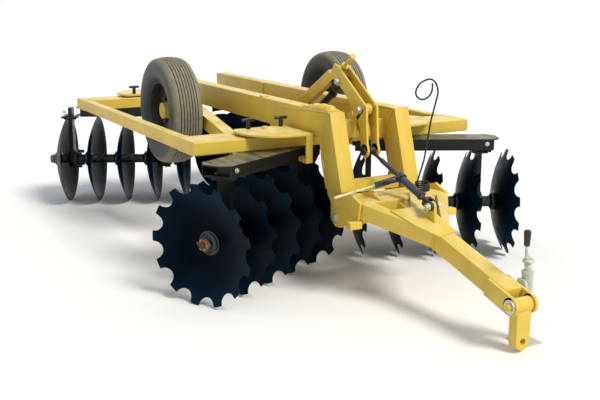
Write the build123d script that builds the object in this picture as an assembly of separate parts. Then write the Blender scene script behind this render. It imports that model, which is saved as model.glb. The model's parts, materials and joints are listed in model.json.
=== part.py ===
from build123d import *
from math import atan2, cos, degrees, hypot, radians, sin, sqrt, tan
import os

# Tandem disc harrow, towed, parked on its blades and on its tongue jack.
# Millimetres. X is lateral, Y points to the rear, Z is up, and the ground is Z = 0.
# The right half, on negative X, is modelled and mirrored to the left.
# The last step moves all pieces so that the origin is on the ground under the middle of the box.

# Running and seating clearances
seat = 0.3
pin_fit = 0.3

# Blades and gangs
blade_diameter = 660
blade_dish = 85
blade_thickness = 6
blade_flat_radius = 62
blade_spacing = 229
blades_per_gang = 5
front_gang_angle = 27.5
rear_gang_angle = 27
front_gang_x = 1044
front_gang_y = -1030
rear_gang_x = 982
rear_gang_y = 1745

# Gang arbor, spools and end nuts
arbor_radius = 19
spool_flange_radius = 56
spool_flange_width = 14
spool_waist_radius = 34
end_washer_radius = 58
end_washer_width = 14
arbor_nut_radius = 34
arbor_nut_width = 34
arbor_end = 16

# Bearings and the standards that carry them
bearing_radius = 66
bearing_width = 62
standard_width = 90
standard_thickness = 28
bearing_bays = (0, 3)

# Gang beams, an inverted channel
beam_top_width = 200
beam_depth = 70
beam_wall = 9
beam_chamfer = 45
beam_outer_margin = 84
beam_inner_margin = 60
beam_offset = -20

# Frame
frame_top = 823
lateral_height = 76
lateral_half_length = 946
front_lateral_front = -740
front_lateral_depth = 233
rear_lateral_rear = 1575
rear_lateral_depth = 190
side_tube_width = 64
tube_corner = 8

# Main beams and front legs
main_beam_x = 215
main_beam_width = 96
main_beam_height = 152
main_beam_front = -1028
main_beam_rear = 1478
leg_lean = 17
leg_length = 443
cheek_thickness = 16

# Tongue pivot and tongue
pivot_y = -1143
pivot_z = 416
pivot_pin_radius = 16
pivot_eye_radius = 42
tongue_joint_y = -1690
tongue_joint_z = 396
tongue_leg_width = 80
tongue_leg_height = 96
tongue_leg_inner_x = 42
tongue_tube_width = 100
hitch_pin_y = -2305
hitch_pin_z = 228
hitch_pin_radius = 20
hitch_cheek_thickness = 16
hitch_cheek_share = 0.36
hitch_cheek_round = 52

# Hitch link
link_barrel_radius = 36
link_body_width = 74
link_body_thickness = 44
link_drop = 172
link_eye_radius = 46
link_eye_bore = 17

# Parking jack
jack_x = 108
jack_setback = 80
jack_tube_radius = 27
jack_tube_bottom = 150
jack_tube_top = 396
jack_leg_radius = 20
jack_leg_top = 300
jack_tube_cap = 10
jack_foot_width = 110
jack_foot_length = 130
jack_foot_thickness = 8
jack_crank_reach = 34
jack_grip_top = 552

# Rockshaft, wheel arms and wheels
rock_y = -320
rock_z = 692
rock_radius = 46
rock_half_length = 500
rock_bearing_width = 40
rock_bearing_wall = 22
wheel_x = 633
wheel_y = 422
wheel_z = 846
arm_inner_x = 432
arm_width = 80
arm_depth = 84
spindle_radius = 24
tire_diameter = 703
tire_width = 208
rim_radius = 192
rim_width = 150
rim_wall = 8
hub_radius = 52
hub_width = 120
hub_end_wall = 8
rock_lever_length = 120
rock_lever_rest_angle = 68
rock_lever_thickness = 20
rock_lever_width = 80

# Lift linkage between rockshaft and tongue
lever_y = -990
lever_z = 975
lever_upper_y = -754
lever_upper_z = 1112
lever_lower_y = -1040
lever_lower_z = 748
lever_plate_x = 46
lever_thickness = 14
lever_width = 66
linkage_pin_radius = 14
link_pin_slack = 5.3
level_pin_slack = 10.5
linkage_pin_washer = 30
lift_link_width = 50
lift_link_depth = 56
lever_stand_thickness = 16
stand_boss_radius = 34
stop_screw_rise = 34
stop_screw_radius = 10
stop_screw_reach = 128
stop_sleeve_radius = 20
stop_head_radius = 18

# Levelling jack between levers and tongue
level_pin_y = -1626
level_pin_z = 548
level_barrel_radius = 22
level_rod_radius = 14
level_eye_radius = 26
level_eye_width = 40
level_lug_thickness = 14

# Angle plates on the lateral tubes
angle_plate_thickness = 12
angle_plate_lift = 12
swivel_x = 450
swivel_front_y = -610
swivel_rear_y = 1470
swivel_pin_radius = 16
clamp_stem_radius = 13
clamp_bar_radius = 9
clamp_bar_length = 76
clamp_height = 62
clamp_setback = 30
clamp_outward = 90
clamp_inward = 120
hanger_width = 40
hanger_thickness = 14
hanger_foot = 24


def block(x0, x1, y0, y1, z0, z1):
    """A box between two corners."""
    center = Pos((x0 + x1) / 2, (y0 + y1) / 2, (z0 + z1) / 2)
    return center * Box(abs(x1 - x0), abs(y1 - y0), abs(z1 - z0))


def rod(start, end, radius):
    """A round bar between two points."""
    a, b = Vector(*start), Vector(*end)
    path = b - a
    return Plane(origin=a, z_dir=path) * Cylinder(radius, path.length, align=(Align.CENTER, Align.CENTER, Align.MIN))


def side_plate(points, x0, x1):
    """An outline in Y and Z, thickened from x0 to x1."""
    plane = Plane(origin=(x0, 0, 0), x_dir=(0, 1, 0), z_dir=(1, 0, 0))
    return extrude(plane * make_face(Polyline(*points, close=True)), amount=x1 - x0)


def flat_plate(outline, z0, z1):
    """A closed outline in X and Y, thickened from z0 to z1."""
    return extrude(Pos(0, 0, z0) * make_face(outline), amount=z1 - z0)


def tube_bar(start, end, width, height, corner=tube_corner):
    """A square-cornered tube between two points, its width level and its corners rounded."""
    a, b = Vector(*start), Vector(*end)
    path = b - a
    side = path.cross(Vector(0, 0, 1)).normalized()
    plane = Plane(origin=a, x_dir=side, z_dir=path)
    return extrude(plane * RectangleRounded(width, height, corner), amount=path.length)


def slot_plate(start, end, half_width, x0, x1):
    """A flat link in the Y-Z plane, round at both ends, from x0 to x1."""
    a, b = Vector(0, *start), Vector(0, *end)
    mid = (a + b) * 0.5
    span = b - a
    turn = degrees(atan2(span.Z, span.Y))
    plane = Plane(origin=(x0, mid.Y, mid.Z), x_dir=(0, 1, 0), z_dir=(1, 0, 0))
    outline = Rot(0, 0, turn) * SlotCenterToCenter(span.length, 2 * half_width)
    return extrude(plane * outline, amount=x1 - x0)


def cross_hole(y, z, radius, x0, x1):
    """A cutter for a hole along X."""
    return rod((x0 - 1, y, z), (x1 + 1, y, z), radius)


def mirrored(piece):
    """The same piece on the other side of the machine."""
    return piece.mirror(Plane.YZ)


nodes = {}


# Disc gangs. A gang is made along its own X axis, which runs from the outer blade inward.
def blade_profile(toward):
    """Half section of a dished blade: flat centre, arc to the rim, hole for the arbor."""
    rim = blade_diameter / 2
    back = blade_dish
    front = blade_dish - blade_thickness
    edge = blade_thickness / 3
    sphere = (rim**2 + blade_dish**2) / (2 * blade_dish)

    def bulge(p, q):
        chord = hypot(q[0] - p[0], q[1] - p[1])
        sag = sphere - sqrt(sphere**2 - chord**2 / 4)
        normal = ((q[1] - p[1]) / chord, -(q[0] - p[0]) / chord)
        return ((p[0] + q[0]) / 2 + normal[0] * sag, (p[1] + q[1]) / 2 + normal[1] * sag)

    hole = arbor_radius + seat
    inner = [(front, hole), (front, blade_flat_radius), (0, rim)]
    outer = [(edge, rim), (back, blade_flat_radius), (back, hole)]
    lines = Line(inner[0], inner[1])
    lines += ThreePointArc(inner[1], bulge(inner[1], inner[2]), inner[2])
    lines += Line(inner[2], outer[0])
    lines += ThreePointArc(outer[0], bulge(outer[1], outer[0]), outer[1])
    lines += Line(outer[1], outer[2]) + Line(outer[2], inner[0])
    section = make_face(lines)
    if toward < 0:
        section = section.mirror(Plane.YZ)
    return section


def blade(toward):
    """One blade with its rim centre at the origin and its hollow facing away from its apex."""
    return revolve(blade_profile(toward), Axis.X)


def ring(x0, x1, radius, bore):
    """A collar on the gang's axis."""
    body = Rot(0, 90, 0) * Cylinder(radius, x1 - x0)
    hole = Rot(0, 90, 0) * Cylinder(bore, x1 - x0 + 2)
    return Pos((x0 + x1) / 2, 0, 0) * (body - hole)


def spool(x0, x1):
    """A cast spacer between two blades, flanged at both ends."""
    bore = arbor_radius + seat
    points = [
        (x0, bore),
        (x0, spool_flange_radius),
        (x0 + spool_flange_width, spool_flange_radius),
        (x0 + 2 * spool_flange_width, spool_waist_radius),
        (x1 - 2 * spool_flange_width, spool_waist_radius),
        (x1 - spool_flange_width, spool_flange_radius),
        (x1, spool_flange_radius),
        (x1, bore),
    ]
    return revolve(make_face(Polyline(*points, close=True)), Axis.X)


def hub_faces(toward, index):
    """Where the flat centre of a blade begins and ends along the gang."""
    rim_x = index * blade_spacing
    apex = rim_x + toward * blade_dish
    return sorted((apex, apex - toward * blade_thickness))


def gang_rollers(toward):
    """Blades, spools and arbor of one gang."""
    blades = []
    spools = []
    for index in range(blades_per_gang):
        blades.append(Pos(index * blade_spacing, 0, 0) * blade(toward))
    for index in range(blades_per_gang - 1):
        x0 = hub_faces(toward, index)[1] + seat
        x1 = hub_faces(toward, index + 1)[0] - seat
        spools.append(spool(x0, x1))
    outer = hub_faces(toward, 0)[0] - seat
    inner = hub_faces(toward, blades_per_gang - 1)[1] + seat
    bore = arbor_radius + seat
    spools.append(ring(outer - end_washer_width, outer, end_washer_radius, bore))
    spools.append(ring(inner, inner + end_washer_width, end_washer_radius, bore))
    first = outer - end_washer_width - seat
    last = inner + end_washer_width + seat
    overhang = arbor_nut_width + arbor_end
    arbor = rod((first - overhang, 0, 0), (last + overhang, 0, 0), arbor_radius)
    nut = extrude(Plane.YZ * RegularPolygon(arbor_nut_radius, 6), amount=arbor_nut_width)
    arbor += Pos(first - arbor_nut_width, 0, 0) * nut
    arbor += Pos(last, 0, 0) * nut
    return blades, spools, arbor


def bay_center(toward, bay):
    """The middle of the gap between two blades' flat centres."""
    x0 = hub_faces(toward, bay)[1]
    x1 = hub_faces(toward, bay + 1)[0]
    return (x0 + x1) / 2


def gang_beam():
    """Inverted channel over the blades, its outer corners cut off."""
    length = (blades_per_gang - 1) * blade_spacing
    x0 = beam_outer_margin
    x1 = length + beam_inner_margin
    top = frame_top - lateral_height - seat - blade_diameter / 2
    y0 = beam_offset - beam_top_width / 2
    y1 = beam_offset + beam_top_width / 2
    points = [
        (x0 + beam_chamfer, y0),
        (x1, y0),
        (x1, y1),
        (x0 + beam_chamfer, y1),
        (x0, y1 - beam_chamfer),
        (x0, y0 + beam_chamfer),
    ]
    body = flat_plate(Polyline(*points, close=True), top - beam_depth, top)
    inside = block(x0 - 1, x1 + 1, y0 + beam_wall, y1 - beam_wall, top - beam_depth - 1, top - beam_wall)
    return body - inside, top


def standard(center, top):
    """A flat bearing standard with the bearing housing at its foot."""
    shank_top = top - beam_wall - seat
    half = standard_thickness / 2
    y0 = beam_offset - standard_width / 2
    shank = block(center - half, center + half, y0, y0 + standard_width, 0, shank_top)
    x0 = center - bearing_width / 2
    housing = ring(x0, x0 + bearing_width, bearing_radius, spool_waist_radius + pin_fit)
    core = Rot(0, 90, 0) * Cylinder(bearing_radius - 2, bearing_width)
    return (shank - Pos(center, 0, 0) * core) + housing


def gang_place(toward, angle, x, y):
    """Where a right-hand gang's own axis lies on the machine."""
    return Pos(-x, y, blade_diameter / 2) * Rot(0, 0, toward * angle)


def gang(toward, angle, x, y):
    """All pieces of one right-hand gang, placed on the machine."""
    place = gang_place(toward, angle, x, y)
    blades, spools, arbor = gang_rollers(toward)
    beam, top = gang_beam()
    standards = [standard(bay_center(toward, bay), top) for bay in bearing_bays]
    return {
        "blades": [place * piece for piece in blades],
        "arbor": [place * arbor] + [place * piece for piece in spools],
        "beam": [place * beam],
        "standards": [place * piece for piece in standards],
    }


# Frame tubes
lateral_bottom = frame_top - lateral_height


def lateral(y0, y1, swivel_y):
    """A wide flat cross tube with a hole for each gang's swivel pin."""
    body = block(-lateral_half_length, lateral_half_length, y0, y1, lateral_bottom, frame_top)
    body = fillet(body.edges().filter_by(Axis.X), tube_corner)
    for x in (-swivel_x, swivel_x):
        body -= rod((x, swivel_y, lateral_bottom - 1), (x, swivel_y, frame_top + 1), swivel_pin_radius + pin_fit)
    return body


def side_tube():
    """The right-hand outer tube between the two laterals."""
    y0 = front_lateral_front + front_lateral_depth
    y1 = rear_lateral_rear - rear_lateral_depth
    body = block(-lateral_half_length, -lateral_half_length + side_tube_width, y0, y1, lateral_bottom, frame_top)
    return fillet(body.edges().filter_by(Axis.Y), tube_corner)


beam_top = frame_top + main_beam_height
lean = radians(leg_lean)
leg_front_bottom = (main_beam_front - leg_length * sin(lean), beam_top - leg_length * cos(lean))
leg_rear_bottom = (
    leg_front_bottom[0] + main_beam_height * cos(lean),
    leg_front_bottom[1] - main_beam_height * sin(lean),
)
leg_corner_z = frame_top
leg_corner_y = leg_rear_bottom[0] + (leg_corner_z - leg_rear_bottom[1]) * tan(lean)
beam_outer_x = main_beam_x + main_beam_width / 2
beam_inner_x = main_beam_x - main_beam_width / 2


def main_beam():
    """Right main beam: a deep tube along the machine, mitred down into the front leg."""
    outline = [
        (main_beam_rear, frame_top),
        (main_beam_rear, beam_top),
        (main_beam_front, beam_top),
        leg_front_bottom,
        leg_rear_bottom,
        (leg_corner_y, leg_corner_z),
    ]
    return side_plate(outline, -beam_outer_x, -beam_inner_x)


def leg_cheek(x0, x1):
    """Six-sided plate on a leg's foot that carries the tongue's pivot."""
    outline = [
        (leg_rear_bottom[0] - 20, leg_rear_bottom[1] + 46),
        (leg_front_bottom[0] + 4, leg_front_bottom[1] + 44),
        (pivot_y - 112, pivot_z + 62),
        (pivot_y - 96, pivot_z - 18),
        (pivot_y - 34, pivot_z - 50),
        (pivot_y + 34, pivot_z - 50),
        (pivot_y + 62, pivot_z - 10),
    ]
    plate = side_plate(outline, x0, x1)
    return plate - cross_hole(pivot_y, pivot_z, pivot_pin_radius + pin_fit, x0, x1)


def front_cross_tube():
    """Square tube between the two front legs, just above the tongue's pivot."""
    size = 64
    middle_y = leg_front_bottom[0] + 78
    middle_z = leg_front_bottom[1] + 14
    half = beam_inner_x - cheek_thickness
    return block(-half, half, middle_y - size / 2, middle_y + size / 2, middle_z - size / 2, middle_z + size / 2)


gang_settings = {
    "front": (1, front_gang_angle, front_gang_x, front_gang_y),
    "rear": (-1, rear_gang_angle, rear_gang_x, rear_gang_y),
}
right_gangs = {end: gang(*setting) for end, setting in gang_settings.items()}

for end, pieces in right_gangs.items():
    for name, solids in pieces.items():
        nodes[f"right_{end}_gang_{name}"] = solids
        nodes[f"left_{end}_gang_{name}"] = [mirrored(piece) for piece in solids]

# Angle plates, clamps and swivel pins, which turn with the gang beams
plate_bottom = frame_top + angle_plate_lift
plate_top = plate_bottom + angle_plate_thickness


def angle_plate(facing, swivel_y, edge_y, place):
    """Crescent plate over a lateral tube, its round side past the tube's outer face."""
    outer_x = -swivel_x - 170
    inner_x = -swivel_x + 160
    back = swivel_y - facing * 70
    front = edge_y + facing * 150
    outline = Line((outer_x + 10, back), (inner_x, back))
    outline += Line((inner_x, back), (inner_x, front))
    outline += Line((inner_x, front), (-swivel_x + 20, front))
    outline += ThreePointArc((-swivel_x + 20, front), (outer_x + 28, (front + edge_y) / 2), (outer_x + 10, back))
    plate = flat_plate(outline, plate_bottom, plate_top)
    pin_bottom = lateral_bottom - seat - beam_wall
    plate += rod((-swivel_x, swivel_y, pin_bottom), (-swivel_x, swivel_y, plate_top + 14), swivel_pin_radius)
    plate += rod((-swivel_x, swivel_y, frame_top + seat), (-swivel_x, swivel_y, plate_bottom), swivel_pin_radius + 16)
    bar_y = front - facing * hanger_thickness
    bottom = lateral_bottom - beam_depth
    plate += block(inner_x - hanger_width, inner_x, bar_y, front, bottom, plate_bottom)
    foot = block(inner_x - hanger_width, inner_x, bar_y, edge_y - facing * 60, bottom, bottom + hanger_foot)
    half = beam_top_width / 2 + seat
    reach = blades_per_gang * blade_spacing
    tall = 2 * blade_diameter
    solid_beam = block(-reach, 2 * reach, beam_offset - half, beam_offset + 5 * half, -tall, tall)
    if facing > 0:
        solid_beam = block(-reach, 2 * reach, beam_offset - 5 * half, beam_offset + half, -tall, tall)
    return plate + (foot - place * solid_beam)


def clamp_bolt(x, y):
    """T-handled clamp screw through the angle plate onto the lateral tube."""
    stem = rod((x, y, frame_top + seat), (x, y, plate_top + clamp_height), clamp_stem_radius)
    half = clamp_bar_length / 2
    bar_z = plate_top + clamp_height - clamp_bar_radius
    return stem + rod((x - half, y, bar_z), (x + half, y, bar_z), clamp_bar_radius)


swivels = {"front": (-1, swivel_front_y, front_lateral_front), "rear": (1, swivel_rear_y, rear_lateral_rear)}
for end, (facing, swivel_y, edge_y) in swivels.items():
    plate = angle_plate(facing, swivel_y, edge_y, gang_place(*gang_settings[end]))
    clamp_y = swivel_y - facing * clamp_setback
    clamps = []
    for x in (-swivel_x - clamp_outward, -swivel_x + clamp_inward):
        clamps.append(clamp_bolt(x, clamp_y))
        plate -= rod((x, clamp_y, plate_bottom - 1), (x, clamp_y, plate_top + 1), clamp_stem_radius + pin_fit)
    beam = nodes[f"right_{end}_gang_beam"][0]
    hole_bottom = lateral_bottom - beam_wall - 2
    beam -= rod((-swivel_x, swivel_y, hole_bottom), (-swivel_x, swivel_y, frame_top), swivel_pin_radius + pin_fit)
    nodes[f"right_{end}_gang_beam"] = [beam]
    nodes[f"left_{end}_gang_beam"] = [mirrored(beam)]
    angle_pieces = [plate] + clamps
    nodes[f"right_{end}_angle_plate"] = angle_pieces
    nodes[f"left_{end}_angle_plate"] = [mirrored(piece) for piece in angle_pieces]

front_lateral_rear = front_lateral_front + front_lateral_depth
rear_lateral_front = rear_lateral_rear - rear_lateral_depth
nodes["front_lateral_tube"] = [lateral(front_lateral_front, front_lateral_rear, swivel_front_y)]
nodes["rear_lateral_tube"] = [lateral(rear_lateral_front, rear_lateral_rear, swivel_rear_y)]
nodes["right_side_tube"] = [side_tube()]
nodes["left_side_tube"] = [mirrored(side_tube())]

right_beam = main_beam()
right_beam += leg_cheek(-beam_outer_x - cheek_thickness, -beam_outer_x)
right_beam += leg_cheek(-beam_inner_x, -beam_inner_x + cheek_thickness)
nodes["right_main_beam"] = [right_beam]
nodes["left_main_beam"] = [mirrored(right_beam)]
nodes["front_cross_tube"] = [front_cross_tube()]

# Rockshaft, wheel arms and the bearings that hang it under the main beams
rock_bearing_outer = rock_radius + rock_bearing_wall


def rock_bearing():
    """Split bearing under a main beam."""
    x0 = -main_beam_x - rock_bearing_width / 2
    x1 = -main_beam_x + rock_bearing_width / 2
    body = block(x0, x1, rock_y - rock_bearing_outer, rock_y + rock_bearing_outer, rock_z, frame_top)
    body += rod((x0, rock_y, rock_z), (x1, rock_y, rock_z), rock_bearing_outer)
    return body - cross_hole(rock_y, rock_z, rock_radius + pin_fit, x0, x1)


nodes["rockshaft_bearings"] = [rock_bearing(), mirrored(rock_bearing())]

arm_outer_x = arm_inner_x + arm_width


def wheel_arm():
    """Right trailing arm with the spindle that carries the wheel."""
    body = slot_plate((rock_y, rock_z), (wheel_y, wheel_z), arm_depth / 2, -arm_outer_x, -arm_inner_x)
    tip = -wheel_x - hub_width / 2 + hub_end_wall + 2
    return body + rod((-arm_outer_x, wheel_y, wheel_z), (tip, wheel_y, wheel_z), spindle_radius)


rock_lever_angle = radians(rock_lever_rest_angle)
rock_lever_y = rock_y + rock_lever_length * cos(rock_lever_angle)
rock_lever_z = rock_z + rock_lever_length * sin(rock_lever_angle)


def rock_lever(x0, x1):
    """Lever on the rockshaft that takes the lift link."""
    plate = slot_plate((rock_y, rock_z), (rock_lever_y, rock_lever_z), rock_lever_width / 2, x0, x1)
    return plate - cross_hole(rock_lever_y, rock_lever_z, linkage_pin_radius + link_pin_slack, x0, x1)


rockshaft = rod((-rock_half_length, rock_y, rock_z), (rock_half_length, rock_y, rock_z), rock_radius)
rockshaft += wheel_arm()
rockshaft += mirrored(wheel_arm())
lever_inner = lift_link_width / 2 + 2
rockshaft += rock_lever(-lever_inner - rock_lever_thickness, -lever_inner)
rockshaft += rock_lever(lever_inner, lever_inner + rock_lever_thickness)
nodes["rockshaft"] = [rockshaft]


# Wheels
def wheel_ring(points, x):
    """A ring about the wheel's axle, from a half section of (distance along the axle, radius)."""
    placed = [(x + along, radius) for along, radius in points]
    section = make_face(Polyline(*placed, close=True))
    return Pos(0, wheel_y, wheel_z) * revolve(section, Axis.X)


def tire():
    """Rib implement tyre with rounded shoulders."""
    outer = tire_diameter / 2
    half = tire_width / 2
    bead = rim_width / 2
    points = [
        (-bead + 12, rim_radius + seat),
        (-bead - 4, rim_radius + 10),
        (-half, (outer + rim_radius) / 2 - 6),
        (-half + 4, outer - 44),
        (-half + 22, outer - 12),
        (-half + 50, outer),
        (half - 50, outer),
        (half - 22, outer - 12),
        (half - 4, outer - 44),
        (half, (outer + rim_radius) / 2 - 6),
        (bead + 4, rim_radius + 10),
        (bead - 12, rim_radius + seat),
    ]
    return wheel_ring(points, -wheel_x)


def rim():
    """Rim, wheel disc and hub in one piece, bored for the spindle."""
    half = rim_width / 2
    bore = spindle_radius + pin_fit
    hub = hub_width / 2
    points = [
        (-hub, 0),
        (-hub, hub_radius),
        (-14, hub_radius),
        (-14, rim_radius - rim_wall),
        (-half, rim_radius - rim_wall),
        (-half, rim_radius),
        (half, rim_radius),
        (half, rim_radius - rim_wall),
        (-6, rim_radius - rim_wall),
        (-6, hub_radius),
        (hub, hub_radius),
        (hub, bore),
        (-hub + hub_end_wall, bore),
        (-hub + hub_end_wall, 0),
    ]
    return wheel_ring(points, -wheel_x)


nodes["right_tire"] = [tire()]
nodes["left_tire"] = [mirrored(tire())]
nodes["right_wheel_rim"] = [rim()]
nodes["left_wheel_rim"] = [mirrored(rim())]


# Lift linkage
def lever_plate(x0, x1):
    """Bent lever plate: lower eye, pivot, upper eye and a tip that carries the stop screw."""
    body = slot_plate((lever_lower_y, lever_lower_z), (lever_y, lever_z), lever_width / 2, x0, x1)
    upper_arm = [
        (lever_y - 33, lever_z + 26),
        (lever_upper_y - 10, lever_upper_z + 92),
        (lever_upper_y + 54, lever_upper_z + 100),
        (lever_upper_y + 60, lever_upper_z + 44),
        (lever_upper_y + 24, lever_upper_z - 30),
        (lever_y + 36, lever_z - 32),
    ]
    body += side_plate(upper_arm, x0, x1)
    body -= cross_hole(lever_lower_y, lever_lower_z, linkage_pin_radius + level_pin_slack, x0, x1)
    body -= cross_hole(lever_y, lever_z, linkage_pin_radius + pin_fit, x0, x1)
    return body - cross_hole(lever_upper_y, lever_upper_z, linkage_pin_radius + pin_fit, x0, x1)


lever_outer_x = lever_plate_x + lever_thickness
nodes["lift_levers"] = [lever_plate(-lever_outer_x, -lever_plate_x), lever_plate(lever_plate_x, lever_outer_x)]


def pin(y, z, half_length, washer=linkage_pin_radius + 8):
    """A linkage pin with its heads."""
    body = rod((-half_length, y, z), (half_length, y, z), linkage_pin_radius)
    for side in (-1, 1):
        body += rod((side * half_length, y, z), (side * (half_length - 12), y, z), washer)
    return body


nodes["lift_lever_pins"] = [
    pin(lever_y, lever_z, lever_outer_x + 14),
    pin(lever_upper_y, lever_upper_z, lever_outer_x + 14),
]

# Stop screw between the levers' tips, which meets the lift link when the wheels are down
screw_angle = radians(stop_screw_rise)
screw_mid = (lever_upper_y + 14, lever_upper_z + 80)


def along_screw(distance):
    """A point on the stop screw's axis, measured forward from its sleeve's middle."""
    return (0, screw_mid[0] - distance * cos(screw_angle), screw_mid[1] + distance * sin(screw_angle))


sleeve = rod(along_screw(-26), along_screw(26), stop_sleeve_radius)
y, z = screw_mid
sleeve += block(-lever_plate_x, lever_plate_x, y - 14, y + 14, z - 10, z + 10)
sleeve -= rod(along_screw(-40), along_screw(40), stop_screw_radius + pin_fit)
stop_screw = rod(along_screw(-56), along_screw(stop_screw_reach), stop_screw_radius)
stop_screw += rod(along_screw(stop_screw_reach - 16), along_screw(stop_screw_reach), stop_head_radius)
nodes["lift_stop_screw"] = [sleeve, stop_screw]

link_half = lift_link_width / 2
link_ends = ((lever_upper_y, lever_upper_z), (rock_lever_y, rock_lever_z))
lift_link = slot_plate(*link_ends, lift_link_depth / 2, -link_half, link_half)
for y, z in link_ends:
    lift_link -= cross_hole(y, z, linkage_pin_radius + pin_fit, -link_half, link_half)
link_pin = pin(rock_lever_y, rock_lever_z, lever_inner + rock_lever_thickness + 14, linkage_pin_washer)
nodes["lift_link"] = [lift_link, link_pin]

# Stand between the main beams that carries the levers' pivot
stand_half = lever_plate_x - 4
stand_y = lever_y + 60
stand_top = lever_z - 60
stand_bottom = frame_top + 10
lever_stand = block(-beam_inner_x, beam_inner_x, stand_y, stand_y + lever_stand_thickness, stand_bottom, stand_top)
stand_outline = [
    (stand_y + 4, stand_bottom),
    (stand_y + 4, stand_top),
    (lever_y + 26, lever_z + 20),
    (lever_y - 26, lever_z + 20),
    (lever_y - 26, lever_z - 20),
]
for side in (-1, 1):
    x0, x1 = sorted((side * stand_half, side * (stand_half - lever_stand_thickness)))
    lever_stand += side_plate(stand_outline, x0, x1)
lever_stand += rod((-stand_half, lever_y, lever_z), (stand_half, lever_y, lever_z), stand_boss_radius)
lever_stand -= cross_hole(lever_y, lever_z, linkage_pin_radius + pin_fit, -stand_half, stand_half)
nodes["lever_stand"] = [lever_stand]

# Levelling jack
level_span = Vector(0, level_pin_y - lever_lower_y, level_pin_z - lever_lower_z)
level_length = level_span.length


def along_level(distance):
    """A point on the levelling jack's axis, measured from the levers' lower pin."""
    share = distance / level_length
    return (0, lever_lower_y + level_span.Y * share, lever_lower_z + level_span.Z * share)


eye_half = level_eye_width / 2
y, z = lever_lower_y, lever_lower_z
level_upper = rod((-eye_half, y, z), (eye_half, y, z), level_eye_radius)
level_upper += rod(along_level(level_eye_radius - 6), along_level(140), level_rod_radius)
level_upper -= cross_hole(y, z, linkage_pin_radius + pin_fit, -eye_half, eye_half)
level_barrel = rod(along_level(100), along_level(level_length - 90), level_barrel_radius)
level_barrel -= rod(along_level(98), along_level(150), level_rod_radius + pin_fit)
level_lower = rod((-eye_half, level_pin_y, level_pin_z), (eye_half, level_pin_y, level_pin_z), level_eye_radius)
level_lower += rod(along_level(level_length - level_eye_radius + 6), along_level(level_length - 120), level_rod_radius)
level_lower -= cross_hole(level_pin_y, level_pin_z, linkage_pin_radius + pin_fit, -eye_half, eye_half)
level_barrel -= rod(along_level(level_length - 130), along_level(level_length - 88), level_rod_radius + pin_fit)
upper_pin = pin(lever_lower_y, lever_lower_z, lever_outer_x + 14, linkage_pin_washer)
nodes["level_jack_screws"] = [level_upper, level_lower, upper_pin]
nodes["level_jack_barrel"] = [level_barrel]
nodes["level_jack_pin"] = [pin(level_pin_y, level_pin_z, eye_half + seat + level_lug_thickness + 14)]

# Tongue: two legs from the pivots to a single tube, with lugs for the levelling jack
eye_x0 = beam_inner_x + 1
eye_x1 = beam_outer_x - 1


def tongue_leg():
    """Right leg of the tongue, with its pivot eye between the cheeks."""
    start = (-main_beam_x, pivot_y, pivot_z)
    bend = (-main_beam_x, pivot_y - 150, pivot_z)
    end = (-tongue_leg_inner_x, tongue_joint_y, tongue_joint_z)
    leg = tube_bar(start, bend, tongue_leg_width, tongue_leg_height)
    leg += tube_bar((bend[0], bend[1] + 22, bend[2]), end, tongue_leg_width, tongue_leg_height)
    leg += rod((-eye_x1, pivot_y, pivot_z), (-eye_x0, pivot_y, pivot_z), pivot_eye_radius)
    return leg - cross_hole(pivot_y, pivot_z, pivot_pin_radius + pin_fit, -eye_x1, -eye_x0)


tongue_frame = tongue_leg() + mirrored(tongue_leg())
bar_y = pivot_y - 190
tongue_frame += block(-150, 150, bar_y - 34, bar_y + 34, pivot_z - 40, pivot_z + 36)
tube_start = (0, tongue_joint_y + 60, tongue_joint_z + 12)
tube_end = (0, hitch_pin_y + 70, hitch_pin_z + 10)
tongue_frame += tube_bar(tube_start, tube_end, tongue_tube_width, tongue_tube_width)
lug_base_z = tongue_joint_z + tongue_leg_height / 2 - 30
for side in (-1, 1):
    x0, x1 = sorted((side * (eye_half + seat), side * (eye_half + seat + level_lug_thickness)))
    lug = block(x0, x1, level_pin_y - 40, level_pin_y + 46, lug_base_z, level_pin_z)
    lug += rod((x0, level_pin_y, level_pin_z), (x1, level_pin_y, level_pin_z), 34)
    tongue_frame += lug - cross_hole(level_pin_y, level_pin_z, linkage_pin_radius + pin_fit, x0, x1)
nodes["tongue_frame"] = [tongue_frame]

pivot_pins = []
for side in (-1, 1):
    outer = side * (beam_outer_x + cheek_thickness + 18)
    inner = side * (beam_inner_x - cheek_thickness - 18)
    body = rod((outer, pivot_y, pivot_z), (inner, pivot_y, pivot_z), pivot_pin_radius)
    body += rod((outer, pivot_y, pivot_z), (outer - side * 17, pivot_y, pivot_z), pivot_pin_radius + 12)
    body += rod((inner, pivot_y, pivot_z), (inner + side * 17, pivot_y, pivot_z), pivot_pin_radius + 12)
    pivot_pins.append(body)
nodes["tongue_pivot_pins"] = pivot_pins

# Hitch clevis, pin and link
tube_half = tongue_tube_width / 2
tube_slope = atan2(tube_end[2] - tube_start[2], tube_end[1] - tube_start[1])
cheek_length = hitch_cheek_share * hypot(hitch_pin_y - tongue_joint_y, hitch_pin_z - tongue_joint_z)
cheek_back = (hitch_pin_y - cheek_length * cos(tube_slope), hitch_pin_z - cheek_length * sin(tube_slope))
clevis = []
for side in (-1, 1):
    x0, x1 = sorted((side * (tube_half + seat), side * (tube_half + seat + hitch_cheek_thickness)))
    cheek = slot_plate((hitch_pin_y, hitch_pin_z), cheek_back, hitch_cheek_round, x0, x1)
    clevis.append(cheek - cross_hole(hitch_pin_y, hitch_pin_z, hitch_pin_radius + pin_fit, x0, x1))
nodes["hitch_cheeks"] = clevis
pin_half = tube_half + hitch_cheek_thickness + 28
hitch_pin = rod((-pin_half, hitch_pin_y, hitch_pin_z), (pin_half, hitch_pin_y, hitch_pin_z), hitch_pin_radius)
for side in (-1, 1):
    end = (side * pin_half, hitch_pin_y, hitch_pin_z)
    hitch_pin += rod(end, (side * (pin_half - 24), hitch_pin_y, hitch_pin_z), 32)
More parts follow.
